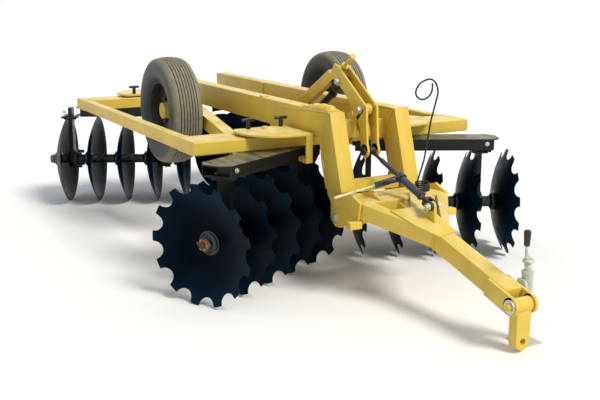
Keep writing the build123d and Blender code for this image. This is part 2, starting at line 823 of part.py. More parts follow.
nodes["hitch_pin"] = [hitch_pin]

barrel_half = tube_half - 2
eye_z = hitch_pin_z - link_drop
hitch_link = rod((-barrel_half, hitch_pin_y, hitch_pin_z), (barrel_half, hitch_pin_y, hitch_pin_z), link_barrel_radius)
hitch_link += block(-link_body_width / 2, link_body_width / 2, hitch_pin_y - link_body_thickness / 2,
                    hitch_pin_y + link_body_thickness / 2, eye_z, hitch_pin_z)
front_face = hitch_pin_y - link_body_thickness / 2
rear_face = hitch_pin_y + link_body_thickness / 2
hitch_link += rod((0, front_face, eye_z), (0, rear_face, eye_z), link_eye_radius)
hitch_link -= rod((0, front_face - 1, eye_z), (0, rear_face + 1, eye_z), link_eye_bore)
hitch_link -= cross_hole(hitch_pin_y, hitch_pin_z, hitch_pin_radius + pin_fit, -barrel_half, barrel_half)
nodes["hitch_link"] = [hitch_link]

# Parking jack on the left side of the tongue
jack_y = hitch_pin_y + jack_setback
jack_tube = rod((jack_x, jack_y, jack_tube_bottom), (jack_x, jack_y, jack_tube_top), jack_tube_radius)
bore_top = jack_tube_top - jack_tube_cap
jack_tube -= rod((jack_x, jack_y, jack_tube_bottom - 1), (jack_x, jack_y, bore_top), jack_leg_radius + pin_fit)
mount_x0 = tube_half + hitch_cheek_thickness + 2 * seat
jack_tube += block(mount_x0, jack_x - jack_leg_radius - 4, jack_y - 24, jack_y + 24, 210, 290)
nodes["jack_tube"] = [jack_tube]
jack_leg = rod((jack_x, jack_y, jack_foot_thickness), (jack_x, jack_y, jack_leg_top), jack_leg_radius)
jack_leg += block(jack_x - jack_foot_width / 2, jack_x + jack_foot_width / 2, jack_y - jack_foot_length / 2,
                  jack_y + jack_foot_length / 2, 0, jack_foot_thickness)
nodes["jack_leg"] = [jack_leg]
crank_z = jack_tube_top + 22
crank_x = jack_x - jack_crank_reach
jack_crank = rod((jack_x, jack_y, jack_tube_top + seat), (jack_x, jack_y, crank_z), 10)
jack_crank += rod((jack_x, jack_y, crank_z), (crank_x, jack_y, crank_z), 8)
jack_crank += rod((crank_x, jack_y, crank_z - 8), (crank_x, jack_y, jack_grip_top), 7)
jack_crank += rod((crank_x, jack_y, jack_grip_top - 80), (crank_x, jack_y, jack_grip_top), 15)
nodes["jack_crank"] = [jack_crank]

# Hose holder: a spring-steel rod that stands on the left tongue leg
holder_x = 105
holder_y = -1390
holder_base = 459.3
coil_radius = 40
wire_radius = 5
coil_height = 60
coil_top = holder_base + coil_height
coil = rod((holder_x, holder_y, holder_base), (holder_x, holder_y, coil_top), coil_radius + wire_radius)
coil -= rod((holder_x, holder_y, holder_base - 1), (holder_x, holder_y, coil_top + 1), coil_radius - wire_radius)
stem_foot = (holder_x + coil_radius, holder_y, coil_top - wire_radius)
stem_top = (holder_x + coil_radius - 10, holder_y - 60, 1090)
holder = coil + rod(stem_foot, stem_top, wire_radius)
nodes["hose_holder"] = [holder]

# Origin on the ground under the middle of the whole machine
everything = Compound([solid for group in nodes.values() for piece in group for solid in piece.solids()])
box = everything.bounding_box()
shift = Pos(-(box.min.X + box.max.X) / 2, -(box.min.Y + box.max.Y) / 2, -box.min.Z)
os.makedirs("parts", exist_ok=True)
for name, group in nodes.items():
    solids = [shift * solid for piece in group for solid in piece.solids()]
    shape = solids[0] if len(solids) == 1 else Compound(solids)
    export_step(shape, f"parts/{name}.step")
print("nodes", len(nodes), "size", [round(v, 1) for v in (box.size.X, box.size.Y, box.size.Z)])
print("shift", round(-(box.min.X + box.max.X) / 2, 3), round(-(box.min.Y + box.max.Y) / 2, 3), round(-box.min.Z, 3))
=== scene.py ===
import json
import math
from functools import partial

import bmesh
import bpy
import numpy as np
from bpy.props import FloatProperty, FloatVectorProperty, IntProperty, PointerProperty
from bpy.types import Operator, Panel, PropertyGroup
from mathutils import Matrix, Vector


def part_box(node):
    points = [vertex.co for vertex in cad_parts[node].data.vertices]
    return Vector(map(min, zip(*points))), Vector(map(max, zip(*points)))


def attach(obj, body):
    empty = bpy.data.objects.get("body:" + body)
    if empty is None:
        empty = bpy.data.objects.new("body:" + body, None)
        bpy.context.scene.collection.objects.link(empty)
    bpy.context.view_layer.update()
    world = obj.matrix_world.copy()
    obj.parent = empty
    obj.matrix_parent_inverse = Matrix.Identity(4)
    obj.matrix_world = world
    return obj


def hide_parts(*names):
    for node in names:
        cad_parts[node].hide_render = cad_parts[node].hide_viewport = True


bl_info = {
    "name": "Tandem disc harrow",
    "version": (1, 0, 0),
    "blender": (4, 5, 0),
    "location": "View3D > Sidebar > Harrow",
    "description": "Dresses the harrow's frame with blades, tyres, linkage, welds, bolts and finishes",
    "category": "Add Mesh",
}

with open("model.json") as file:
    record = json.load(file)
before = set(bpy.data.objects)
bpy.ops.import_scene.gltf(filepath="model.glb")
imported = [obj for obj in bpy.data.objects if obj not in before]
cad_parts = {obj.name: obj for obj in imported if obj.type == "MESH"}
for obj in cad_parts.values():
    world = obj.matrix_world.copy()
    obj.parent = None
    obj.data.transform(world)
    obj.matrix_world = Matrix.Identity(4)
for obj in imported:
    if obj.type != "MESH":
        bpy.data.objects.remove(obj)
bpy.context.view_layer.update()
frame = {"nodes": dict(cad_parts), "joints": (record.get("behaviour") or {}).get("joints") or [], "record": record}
joints = {joint["name"]: joint for joint in frame["joints"]}

SIDES = ("right", "left")
ENDS = ("front", "rear")

# The drawing is in millimetres. Its zero is found from the rockshaft's axle, at (0, -320, 692) on it.
DRAWING_ZERO = np.array(joints["rockshaft_turn"]["pos_m"]) - np.array([0, -0.320, 0.692])

# Settings
length = partial(FloatProperty, unit="LENGTH")
angle = partial(FloatProperty, subtype="ANGLE")
colour = partial(FloatVectorProperty, subtype="COLOR", min=0, max=1)


class HarrowSizes(PropertyGroup):
    """Sizes of the pieces that are added to the frame."""

    blade_diameter: length(name="Blade diameter", description="Across a disc blade", default=0.66)
    blade_dish: length(name="Blade dish", description="Depth of a blade's hollow", default=0.085)
    blade_thickness: length(name="Blade thickness", description="Thickness of a blade's steel", default=0.006)
    blade_flat: length(name="Blade flat", description="Radius of a blade's flat centre", default=0.062)
    blade_spacing: length(name="Blade spacing", description="From blade to blade along a gang", default=0.229)
    blade_count: IntProperty(name="Blades in a gang", description="How many a gang carries", default=5, min=1)
    notch_count: IntProperty(name="Notches", description="Notches round a front blade", default=13, min=1)
    notch_radius: length(name="Notch radius", description="Radius of each round notch", default=0.052)
    notch_phase: angle(name="Notch phase", description="Turn of the first notch", default=math.radians(15.4))
    rib_count: IntProperty(name="Tyre ribs", description="Ribs round the tyre's tread", default=8, min=1)
    groove_depth: length(name="Groove depth", description="Depth of the tread's grooves", default=0.009)
    groove_width: length(name="Groove width", description="Width of the tread's grooves", default=0.0055)
    weld_radius: length(name="Weld radius", description="Radius of a weld bead", default=0.0045)
    weld_ripple: length(name="Weld ripple", description="Length of one ripple along a bead", default=0.007)
    spring_turns: FloatProperty(name="Spring turns", description="Turns of the holder's coil", default=4.5)
    spring_radius: length(name="Spring radius", description="Radius of the hose holder's coil", default=0.037)
    spring_wire: length(name="Spring wire", description="Radius of the hose holder's wire", default=0.0048)


class HarrowColours(PropertyGroup):
    """Colours of the finishes, as scene-linear values."""

    yellow: colour(name="Yellow paint", description="Frame, tongue and linkage", default=(0.70, 0.49, 0.062))
    # Dust, and a painted highlight: the pale colour given to upward faces of the yellow paint.
    dusty_yellow_and_highlight: colour(name="Dusty yellow", description="Dust on the paint", default=(0.86, 0.73, 0.36))
    blade: colour(name="Blade paint", description="Disc blades", default=(0.0012, 0.0016, 0.004))
    # Painted reflection: the blue-green that the blades' paint turns to towards the rim.
    blade_rim: colour(name="Blade rim", description="Tint at a blade's rim", default=(0.003, 0.021, 0.042))
    black: colour(name="Black paint", description="Gang beams and standards", default=(0.004, 0.005, 0.005))
    # Dust and a painted reflection: the olive streaks on the gang beams' upward faces.
    beam_dust_and_sheen: colour(name="Beam dust", description="Dust on the gang beams", default=(0.20, 0.19, 0.11))
    rubber: colour(name="Tyre sidewall", description="Clean tyre rubber", default=(0.012, 0.019, 0.030))
    tread_dust: colour(name="Tread dust", description="Worn and dusty tread", default=(0.270, 0.245, 0.165))
    zinc: colour(name="Zinc", description="Plated pins and bolts", default=(0.62, 0.62, 0.56))
    rust: colour(name="Rust", description="Bare arbor nuts", default=(0.36, 0.16, 0.06))
    jack: colour(name="Jack paint", description="Parking jack", default=(0.47, 0.52, 0.42))


class HarrowStage(PropertyGroup):
    """Camera and light."""

    camera_place: FloatVectorProperty(
        name="Camera place", description="Where the camera stands", default=(-2.733, -4.9965, 1.631),
        subtype="TRANSLATION")
    camera_yaw: angle(name="Camera yaw", description="Turn from +Y", default=math.radians(-29.967))
    camera_pitch: angle(name="Camera pitch", description="Tilt above level", default=math.radians(-13.133))
    camera_roll: angle(name="Camera roll", description="Turn of the picture", default=math.radians(0.178))
    lens: FloatProperty(name="Lens", description="Focal length for a 36 mm wide sensor", default=53.08)
    shift: FloatVectorProperty(
        name="Lens shift", description="Shift as a share of the picture's width", default=(-0.0251, -0.0064),
        size=2)
    sun_direction: FloatVectorProperty(
        name="Key light", description="Direction from the harrow towards the key light",
        default=(0.30, -0.80, 0.95), subtype="DIRECTION")
    sun_strength: FloatProperty(
        name="Key strength", description="Strength of the key light", default=2.6, min=0)
    sky_strength: FloatProperty(
        name="Sky strength", description="Strength of the even light", default=0.55, min=0)


def sizes():
    return bpy.context.scene.harrow_sizes


def colours():
    return bpy.context.scene.harrow_colours


# Shapes, worked out as whole arrays. A part is a pair: points (n, 3) and quads (m, 4).
WELD_SWELL = 0.16
WELD_TAPER = 0.006
CORNER_SHARE = 0.45


def grid_quads(rows, columns, wrap_rows=False, wrap_columns=False):
    """Quads between neighbours of a grid that is numbered row by row; a wrapped side closes on itself."""
    row = np.arange(rows if wrap_rows else rows - 1)
    column = np.arange(columns if wrap_columns else columns - 1)
    row, column = np.meshgrid(row, column, indexing="ij")
    next_row = (row + 1) % rows
    next_column = (column + 1) % columns
    corners = [row * columns + column, next_row * columns + column,
               next_row * columns + next_column, row * columns + next_column]
    return np.stack(corners, axis=-1).reshape(-1, 4)


def joined(parts):
    """One part from several, with the later quads renumbered."""
    points = np.concatenate([part[0] for part in parts])
    starts = np.cumsum([0] + [len(part[0]) for part in parts[:-1]])
    quads = np.concatenate([part[1] + start for part, start in zip(parts, starts)])
    return points, quads


def placed(part, origin, axis, up=(0, 0, 1)):
    """The part with its X axis laid along axis and its Z axis near up, moved to origin."""
    x = np.asarray(axis, float) / np.linalg.norm(axis)
    y = np.cross(up, x)
    y /= np.linalg.norm(y)
    z = np.cross(x, y)
    return part[0] @ np.array([x, y, z]) + np.asarray(origin, float), part[1]


def upright(part, x, y, z=0):
    """The part with its X axis upwards, on a point of the drawing."""
    return placed(part, (x, y, z), (0, 0, 1), (0, 1, 0))


def mirrored(part):
    """The same part on the other side of the machine."""
    return part[0] * np.array([-1, 1, 1]), part[1]


def both_sides(parts):
    return parts + [mirrored(part) for part in parts]


def drawn(*point):
    """A point of the drawing, in the frame's metres."""
    return np.array(point, float) / 1000 + DRAWING_ZERO


def turned(profile, segments, wrap_rows=False):
    """Surface of revolution about X: (along, radius) of the profile, radius turned by cosine and sine."""
    profile = np.asarray(profile, float)
    turn = np.arange(segments) * 2 * np.pi / segments
    along, turn = np.meshgrid(profile[:, 0], turn, indexing="ij")
    radius = np.repeat(profile[:, 1:2], segments, axis=1)
    points = np.stack([along, radius * np.cos(turn), radius * np.sin(turn)], axis=-1).reshape(-1, 3)
    return points, grid_quads(len(profile), segments, wrap_rows, wrap_columns=True)


def swept(path, radius, sides=8, reference=(0.8, 0.2, 0.56)):
    """Tube along a path: centre plus radius times cosine and sine on two directions square to the path."""
    path = np.asarray(path, float)
    tangent = np.gradient(path, axis=0)
    tangent /= np.linalg.norm(tangent, axis=1, keepdims=True)
    side = np.cross(tangent, reference)
    side /= np.linalg.norm(side, axis=1, keepdims=True)
    upward = np.cross(side, tangent)
    turn = np.arange(sides) * 2 * np.pi / sides
    radius = np.broadcast_to(np.asarray(radius, float), (len(path),))[:, None, None]
    ring = side[:, None] * np.cos(turn)[None, :, None] + upward[:, None] * np.sin(turn)[None, :, None]
    points = path[:, None] + radius * ring
    ends = np.stack([path[0], path[-1]])[:, None].repeat(sides, axis=1)
    points = np.concatenate([ends[:1], points, ends[1:]])
    return points.reshape(-1, 3), grid_quads(len(points), sides, wrap_columns=True)


def resampled(path, step):
    """Points a step apart along a line of runs, each worked out from its share of the length."""
    path = np.asarray(path, float)
    runs = np.linalg.norm(np.diff(path, axis=0), axis=1)
    along = np.concatenate([[0], np.cumsum(runs)])
    share = np.linspace(0, along[-1], max(3, int(along[-1] / step) + 1))
    return np.stack([np.interp(share, along, path[:, axis]) for axis in range(3)], axis=1), share


def rounded(path, step, reach=6):
    """A smooth line near a line of runs: its resampled points averaged with a bell-shaped weight."""
    points, _ = resampled(path, step)
    weight = np.exp(-np.linspace(-2, 2, 2 * reach + 1) ** 2)
    weight /= weight.sum()
    padded = np.pad(points, ((reach, reach), (0, 0)), mode="edge")
    smooth = np.stack([np.convolve(padded[:, axis], weight, "valid") for axis in range(3)], axis=1)
    smooth[0], smooth[-1] = points[0], points[-1]
    return smooth


def weld_bead(*corners):
    """Bead along corners of the drawing: a tube whose radius swells by a sine and tapers at its ends."""
    ripple = sizes().weld_ripple
    path, along = resampled(np.array([drawn(*corner) for corner in corners]), ripple / 3)
    radius = sizes().weld_radius * (1 + WELD_SWELL * np.sin(along * 2 * np.pi / ripple))
    taper = np.clip(np.minimum(along, along[-1] - along) / WELD_TAPER, 0.35, 1)
    return swept(path, radius * taper)


def side_bead(x, *corners):
    """Bead on a face that looks sideways, along (y, z) corners of the drawing."""
    return weld_bead(*[(x, *corner) for corner in corners])


def round_corners(outline, radius):
    """Outline with a short curve at each corner: the weighted mean of the corner and two points beside it."""
    outline = np.asarray(outline, float)
    before = np.roll(outline, 1, axis=0) - outline
    after = np.roll(outline, -1, axis=0) - outline
    room_before = np.linalg.norm(before, axis=1, keepdims=True)
    room_after = np.linalg.norm(after, axis=1, keepdims=True)
    start = outline + before / room_before * np.minimum(radius, room_before * CORNER_SHARE)
    end = outline + after / room_after * np.minimum(radius, room_after * CORNER_SHARE)
    share = np.linspace(0, 1, 4)[None, :, None]
    rest = 1 - share
    curve = start[:, None] * rest ** 2 + outline[:, None] * 2 * share * rest + end[:, None] * share ** 2
    return curve.reshape(-1, 2)


def inset_ring(outline, distance):
    """Outline moved inwards: each corner goes along the sum of its two edges' inward directions."""
    edge = np.roll(outline, -1, axis=0) - outline
    edge /= np.linalg.norm(edge, axis=1, keepdims=True)
    after = np.stack([-edge[:, 1], edge[:, 0]], axis=1)
    before = np.roll(after, 1, axis=0)
    following = np.roll(outline, -1, axis=0)
    turn = np.sum(outline[:, 0] * following[:, 1] - outline[:, 1] * following[:, 0])
    lean = 1 + np.sum(after * before, axis=1, keepdims=True)
    return outline + np.sign(turn) * distance * (after + before) / np.maximum(lean, 0.3)


def plate(outline, low, high, soften=2.0):
    """Plate of an outline in Y and Z, from low to high along X: its rings are inset at both faces' edges."""
    outline = round_corners(outline, max(soften * 1.5, 1.0))
    middle = outline.mean(axis=0)
    slight = soften * 0.3
    rows = []
    for along, inset in ((low, None), (low, soften), (low + slight, slight), (low + soften, 0),
                         (high - soften, 0), (high - slight, slight), (high, soften), (high, None)):
        ring = np.broadcast_to(middle, outline.shape) if inset is None else inset_ring(outline, inset)
        rows.append(np.column_stack([np.full(len(ring), along), ring]))
    return np.concatenate(rows), grid_quads(len(rows), len(outline), wrap_columns=True)


def slab(x0, x1, y0, y1, z0, z1, soften=2.0):
    """Box between two corners with rounded edges."""
    return plate([(y0, z0), (y1, z0), (y1, z1), (y0, z1)], x0, x1, soften)


def round_bar(start, end, radius, soften=1.5, segments=28):
    """Round bar between two points of the drawing, its end edges cut off slantwise."""
    start, end = np.array(start, float), np.array(end, float)
    span = np.linalg.norm(end - start)
    profile = [(0, 0), (0, radius - soften), (soften, radius), (span - soften, radius),
               (span, radius - soften), (span, 0)]
    up = (0, 0, 1) if abs(end[2] - start[2]) < 0.9 * span else (0, 1, 0)
    return placed(turned(profile, segments), start, end - start, up)


def cross_bar(spot, x0, x1, radius, *more):
    """Round bar along X through a (y, z) point of the drawing."""
    return round_bar((x0, *spot), (x1, *spot), radius, *more)


def washers(spot, near, far, radius):
    """A round washer on each side of the machine's middle."""
    return [cross_bar(spot, -far, -near, radius), cross_bar(spot, near, far, radius)]


def dome(radius, height, segments=24):
    """Cap that rises along X as a quarter of an ellipse."""
    turn = np.linspace(0, np.pi / 2, 8)
    profile = np.column_stack([height * np.sin(turn), radius * np.cos(turn)])
    return turned(np.concatenate([[[0, 0]], profile]), segments)


def hex_head(across, height, washer=0.0):
    """Bolt head along X: an optional round washer, six flats and a rounded crown."""
    radius = across / math.sqrt(3)
    start = 0.18 * height if washer else 0
    crown = [(start, 0), (start, radius), (0.86 * height, radius), (height, 0.86 * radius), (height, 0)]
    parts = [turned(crown, 6)]
    if washer:
        rim = [(0, 0), (0, washer), (0.12 * height, washer), (0.2 * height, washer * 0.96), (0.2 * height, 0)]
        parts.append(turned(rim, 28))
    return joined(parts)


def castle_nut(radius, thickness, crown):
    """Slotted arbor nut along X: six flats, six upstands between the slots, and a cotter pin through them."""
    bore, chamfer = 12, 1.2
    body = [(0, bore), (0, radius), (thickness, radius), (thickness + chamfer, radius * 0.84),
            (thickness + chamfer, bore)]
    parts = [turned(body, 6)]
    upstand = slab(thickness, thickness + crown, -7, 7, 21, radius * 0.84, 1.0)
    for step in range(6):
        turn = math.radians(30 + 60 * step)
        along, rise = math.cos(turn), math.sin(turn)
        spin = np.array([[1, 0, 0], [0, along, rise], [0, -rise, along]])
        parts.append((upstand[0] @ spin, upstand[1]))
    middle = thickness + crown * 0.5
    cotter = [(middle + 2, -30, 4), (middle, -27, 0), (middle, 0, 0), (middle, 28, 0), (middle + 1, 33, 4),
              (middle + 2, 34, 12)]
    parts.append(swept(resampled(cotter, 3)[0], 2.8))
    return joined(parts)


# Finishes, with their own scene-linear colours
BROWN_SPECK = (0.16, 0.085, 0.03, 1.0)
RIM_BLACK = (0.012, 0.011, 0.010)
# Painted highlight: blue-grey on the blades' edges and on the black castings.
BLUE_GREY_HIGHLIGHT = (0.022, 0.034, 0.042, 1.0)
BLADE_TINT = (0.30, 0.65, 0.95, 1.0)
DULL_ZINC = (0.25, 0.23, 0.18, 1.0)
FORK_BLACK = (0.010, 0.011, 0.012, 1.0)
THREAD_DARK, THREAD_BROWN = (0.10, 0.045, 0.020, 1.0), (0.30, 0.17, 0.09, 1.0)
STEEL_DARK, STEEL_BLUE = (0.008, 0.010, 0.014, 1.0), (0.035, 0.060, 0.095, 1.0)
HANDLE_DARK, HANDLE_PALE = (0.52, 0.40, 0.17, 1.0), (0.78, 0.68, 0.42, 1.0)
JACK_SOIL = (0.50, 0.47, 0.34, 1.0)
CRANK_DARK, CRANK_PALE = (0.38, 0.38, 0.30, 1.0), (0.66, 0.66, 0.55, 1.0)
GRIP_DARK, GRIP_GREY = (0.006, 0.006, 0.006, 1.0), (0.020, 0.020, 0.020, 1.0)
WIRE_BLACK, WIRE_RUB = (0.012, 0.012, 0.012, 1.0), (0.16, 0.15, 0.13, 1.0)


class Finish:
    """A material under construction: its nodes, its Principled shader and its Object coordinates."""

    def __init__(self, name):
        self.material = bpy.data.materials.new(name)
        self.material.use_nodes = True
        self.nodes = self.material.node_tree.nodes
        self.links = self.material.node_tree.links
        self.nodes.clear()
        output = self.nodes.new("ShaderNodeOutputMaterial")
        self.shader = self.nodes.new("ShaderNodeBsdfPrincipled")
        self.links.new(self.shader.outputs["BSDF"], output.inputs["Surface"])
        self.place = self.nodes.new("ShaderNodeTexCoord").outputs["Object"]
        self.axes = self.node("ShaderNodeSeparateXYZ", Vector=self.place).outputs

    def node(self, kind, **inputs):
        """A new node with its inputs set by name: a number, a colour or another node's output."""
        made = self.nodes.new(kind)
        for name, value in inputs.items():
            self.feed(made.inputs[name.replace("_", " ")], value)
        return made

    def feed(self, socket, value):
        if isinstance(value, bpy.types.NodeSocket):
            self.links.new(value, socket)
        else:
            socket.default_value = value

    def set(self, **inputs):
        for name, value in inputs.items():
            self.feed(self.shader.inputs[name.replace("_", " ")], value)

    def done(self, base, roughness, scale, detail, strength, **more):
        """The material, with its colour and roughness set and a fine skin of bumps over them."""
        self.set(Base_Color=base, Roughness=roughness, **more)
        skin = self.node("ShaderNodeBump", Height=self.noise(scale, detail), Strength=strength,
                         Distance=0.001)
        self.links.new(skin.outputs["Normal"], self.shader.inputs["Normal"])
        return self.material

    def noise(self, scale, detail, stretch=(1, 1, 1)):
        """Cloudy pattern in Object coordinates, drawn out along an axis by a small stretch."""
        mapped = self.node("ShaderNodeMapping", Vector=self.place, Scale=stretch)
        cloud = self.node("ShaderNodeTexNoise", Vector=mapped.outputs[0], Scale=scale, Detail=detail)
        return cloud.outputs["Fac"]

    def range(self, value, low, high, to_low=0.0, to_high=1.0):
        made = self.nodes.new("ShaderNodeMapRange")
        for name, part in (("Value", value), ("From Min", low), ("From Max", high),
                           ("To Min", to_low), ("To Max", to_high)):
            self.feed(made.inputs[name], part)
        return made.outputs["Result"]

    def clouds(self, scale, detail, low, high, to_low=0.0, to_high=1.0, stretch=(1, 1, 1)):
        """Noise between two levels, spread over a range."""
        return self.range(self.noise(scale, detail, stretch), low, high, to_low, to_high)

    def mix(self, factor, first, second):
        made = self.nodes.new("ShaderNodeMix")
        made.data_type = "RGBA"
        sockets = {socket.identifier: socket for socket in made.inputs}
        self.feed(made.inputs["Factor"], factor)
        self.feed(sockets["A_Color"], first)
        self.feed(sockets["B_Color"], second)
        return made.outputs[2]

    def mottled(self, first, second, scale, detail, low, high, **more):
        """Two colours that clouds drift between."""
        return self.mix(self.clouds(scale, detail, low, high, **more), first, second)

    def math(self, operation, first, second=0.0):
        made = self.nodes.new("ShaderNodeMath")
        made.operation = operation
        self.feed(made.inputs[0], first)
        self.feed(made.inputs[1], second)
        return made.outputs[0]

    def times(self, first, second):
        return self.math("MULTIPLY", first, second)

    def wear_and_rim_share(self):
        """The per-point mask that the piece's mesh carries: tread wear on the tyres, and on the blades the share
        of the rim's radius, which places their painted reflection and highlight.
        """
        made = self.nodes.new("ShaderNodeAttribute")
        made.attribute_name = "wear_and_rim_share"
        return made.outputs["Fac"]

    def upward(self, low=0.85, high=0.98):
        """One on faces that look up, zero on the others."""
        normal = self.nodes.new("ShaderNodeNewGeometry").outputs["Normal"]
        return self.range(self.node("ShaderNodeSeparateXYZ", Vector=normal).outputs["Z"], low, high)

    def above(self, value, level, soft=0.0012):
        """One where a value is over a level, zero where it is under it."""
        return self.range(value, level, level + soft)

    def below(self, value, level, soft):
        """One where a value is under a level, zero where it is over it."""
        return self.range(value, level, level + soft, 1.0, 0.0)

    def off_axle(self, point, radius):
        """Zero within a radius of a line along X through a point, one outside."""
        flat = self.node("ShaderNodeCombineXYZ", Y=self.axes["Y"], Z=self.axes["Z"]).outputs[0]
        reach = self.nodes.new("ShaderNodeVectorMath")
        reach.operation = "DISTANCE"
        self.feed(reach.inputs[0], flat)
        self.feed(reach.inputs[1], (0, point[1], point[2]))
        return self.above(reach.outputs["Value"], radius)


def rgba(colour, scale=1.0):
    return (*[min(1.0, part * scale) for part in colour], 1.0)


def painted(finish):
    """Yellow enamel's colour and roughness: clouds, dust and a painted highlight on upward faces, soot streaks,
    brown specks.
    """
    paint = colours().yellow
    base = finish.mottled(rgba(paint, 0.90), rgba(paint, 1.06), 2.2, 5.0, 0.35, 0.65)
    soot = finish.clouds(6.0, 6.0, 0.52, 0.74, 0.0, 0.35, (1.0, 1.0, 0.25))
    base = finish.mix(soot, base, rgba(paint, 0.62))
    # Upward faces are paler: dust, and a painted highlight.
    dust = finish.times(finish.upward(), finish.clouds(9.0, 8.0, 0.38, 0.66, 0.15, 0.85))
    base = finish.mix(dust, base, rgba(colours().dusty_yellow_and_highlight))
    specks = finish.clouds(70.0, 3.0, 0.70, 0.74)
    base = finish.mix(finish.times(specks, 0.6), base, BROWN_SPECK)
    return base, finish.clouds(14.0, 6.0, 0.3, 0.7, 0.36, 0.54)


def yellow_paint():
    """Enamel with a fine skin."""
    finish = Finish("yellow_paint")
    base, roughness = painted(finish)
    return finish.done(base, roughness, 260.0, 2.0, 0.12)


def part_painted(name, mask, other, other_roughness):
    """Yellow enamel that gives way to another colour where the mask is one."""
    finish = Finish(name)
    base, roughness = painted(finish)
    where = mask(finish)
    second = finish.mottled(rgba(other, 0.7), rgba(other, 1.25), 50.0, 5.0, 0.3, 0.7)
    return finish.done(finish.mix(where, base, second),
                       finish.range(where, 0.0, 1.0, roughness, other_roughness), 260.0, 2.0, 0.12)


def angle_plate_paint():
    """Yellow plates; their T-handled screws, which stand above the plates beside the pin, are black."""
    pin_x, screw_reach, plate_top = 0.450, 0.040, 0.8475

    def screws(finish):
        across = finish.math("ABSOLUTE", finish.axes["X"])
        aside = finish.math("ABSOLUTE", finish.math("SUBTRACT", across, pin_x))
        return finish.times(finish.above(finish.axes["Z"], plate_top), finish.above(aside, screw_reach))
    return part_painted("angle_plate_paint", screws, colours().black, 0.35)


def rim_paint():
    """Dull black rims and discs round a yellow hub."""
    axle = joints["right_wheel_spin"]["pos_m"]
    hub_radius = 0.0535

    def disc(finish):
        return finish.off_axle(axle, hub_radius)
    return part_painted("rim_paint", disc, RIM_BLACK, 0.5)


def blade_paint():
    """Glossy blue-black paint with a painted blue-green reflection towards the rim, in clouds, and a painted
    blue-grey highlight in patches round the edge.
    """
    finish = Finish("blade_paint")
    reach = finish.wear_and_rim_share()
    # Painted reflection: blue-green towards the rim, spread in clouds.
    rim = finish.range(reach, 0.45, 1.05)
    drift = finish.times(rim, finish.clouds(2.4, 3.0, 0.32, 0.62, 0.15, 1.0))
    base = finish.mix(drift, rgba(colours().blade), rgba(colours().blade_rim))
    # Painted highlight: blue-grey patches in the outer tenth of the radius.
    painted_edge_highlight = finish.times(finish.range(reach, 0.90, 1.0), finish.clouds(26.0, 8.0, 0.50, 0.72, 0.0, 0.6))
    base = finish.mix(painted_edge_highlight, base, BLUE_GREY_HIGHLIGHT)
    return finish.done(base, finish.clouds(22.0, 6.0, 0.3, 0.7, 0.28, 0.42), 180.0, 2.0, 0.06,
                       Specular_IOR_Level=0.05, Specular_Tint=BLADE_TINT)


def black_paint():
    """Satin black paint with olive dust and a painted reflection, streaked across the beams, on upward faces."""
    finish = Finish("black_paint")
    # Painted reflection, with some dust: olive streaks on upward faces.
    streaks = finish.clouds(30.0, 6.0, 0.32, 0.62, 0.15, 1.0, (1.0, 0.12, 1.0))
    dust = finish.times(finish.upward(), streaks)
    base = finish.mix(dust, rgba(colours().black), rgba(colours().beam_dust_and_sheen))
    return finish.done(base, finish.clouds(20.0, 5.0, 0.3, 0.7, 0.30, 0.48), 220.0, 2.0, 0.08,
                       Specular_IOR_Level=0.30)


def arbor_paint():
    """Black castings with a painted blue-grey highlight, spread in clouds."""
    finish = Finish("arbor_paint")
    # Painted highlight: clouds of blue-grey over the black.
    tone = finish.clouds(35.0, 6.0, 0.4, 0.7)
    base = finish.mix(tone, rgba(colours().black), BLUE_GREY_HIGHLIGHT)
    return finish.done(base, finish.range(tone, 0.0, 1.0, 0.24, 0.42), 160.0, 4.0, 0.2,
                       Specular_IOR_Level=0.5)


def tyre_rubber():
    """Blue-grey sidewalls and dusty ribs; the wear is one on the tread's crown."""
    finish = Finish("tyre_rubber")
    dust = finish.times(finish.wear_and_rim_share(), finish.clouds(30.0, 8.0, 0.25, 0.7, 0.55, 1.0))
    base = finish.mix(dust, rgba(colours().rubber), rgba(colours().tread_dust))
    return finish.done(base, finish.range(dust, 0.0, 1.0, 0.50, 0.85), 140.0, 4.0, 0.25)


def zinc_plate():
    """Dull plated steel."""
    finish = Finish("zinc_plate")
    base = finish.mottled(DULL_ZINC, rgba(colours().zinc), 60.0, 4.0, 0.35, 0.65, to_low=0.75, to_high=1.0)
    return finish.done(base, finish.clouds(90.0, 3.0, 0.3, 0.7, 0.3, 0.5), 300.0, 2.0, 0.1, Metallic=0.85)


def rusty_iron():
    """Orange-brown rust with darker pits."""
    finish = Finish("rusty_iron")
    rust = colours().rust
    base = finish.mottled(rgba(rust, 0.35), rgba(rust, 1.5), 55.0, 8.0, 0.35, 0.65)
    return finish.done(base, 0.7, 220.0, 5.0, 0.5, Metallic=0.3)


def screw_finish():
    """The levelling jack's screws: a black fork, and rust-brown thread where it leaves the barrel."""
    finish = Finish("screw_finish")
    fork_end, barrel_start = (float(drawn(0, y, 0)[1]) for y in (-1548, -1400))
    thread = finish.times(finish.above(finish.axes["Y"], fork_end),
                          finish.below(finish.axes["Y"], barrel_start, 0.001))
    rust = finish.mottled(THREAD_DARK, THREAD_BROWN, 60.0, 6.0, 0.35, 0.65)
    return finish.done(finish.mix(thread, FORK_BLACK, rust), finish.range(thread, 0.0, 1.0, 0.35, 0.6),
                       240.0, 3.0, 0.2)


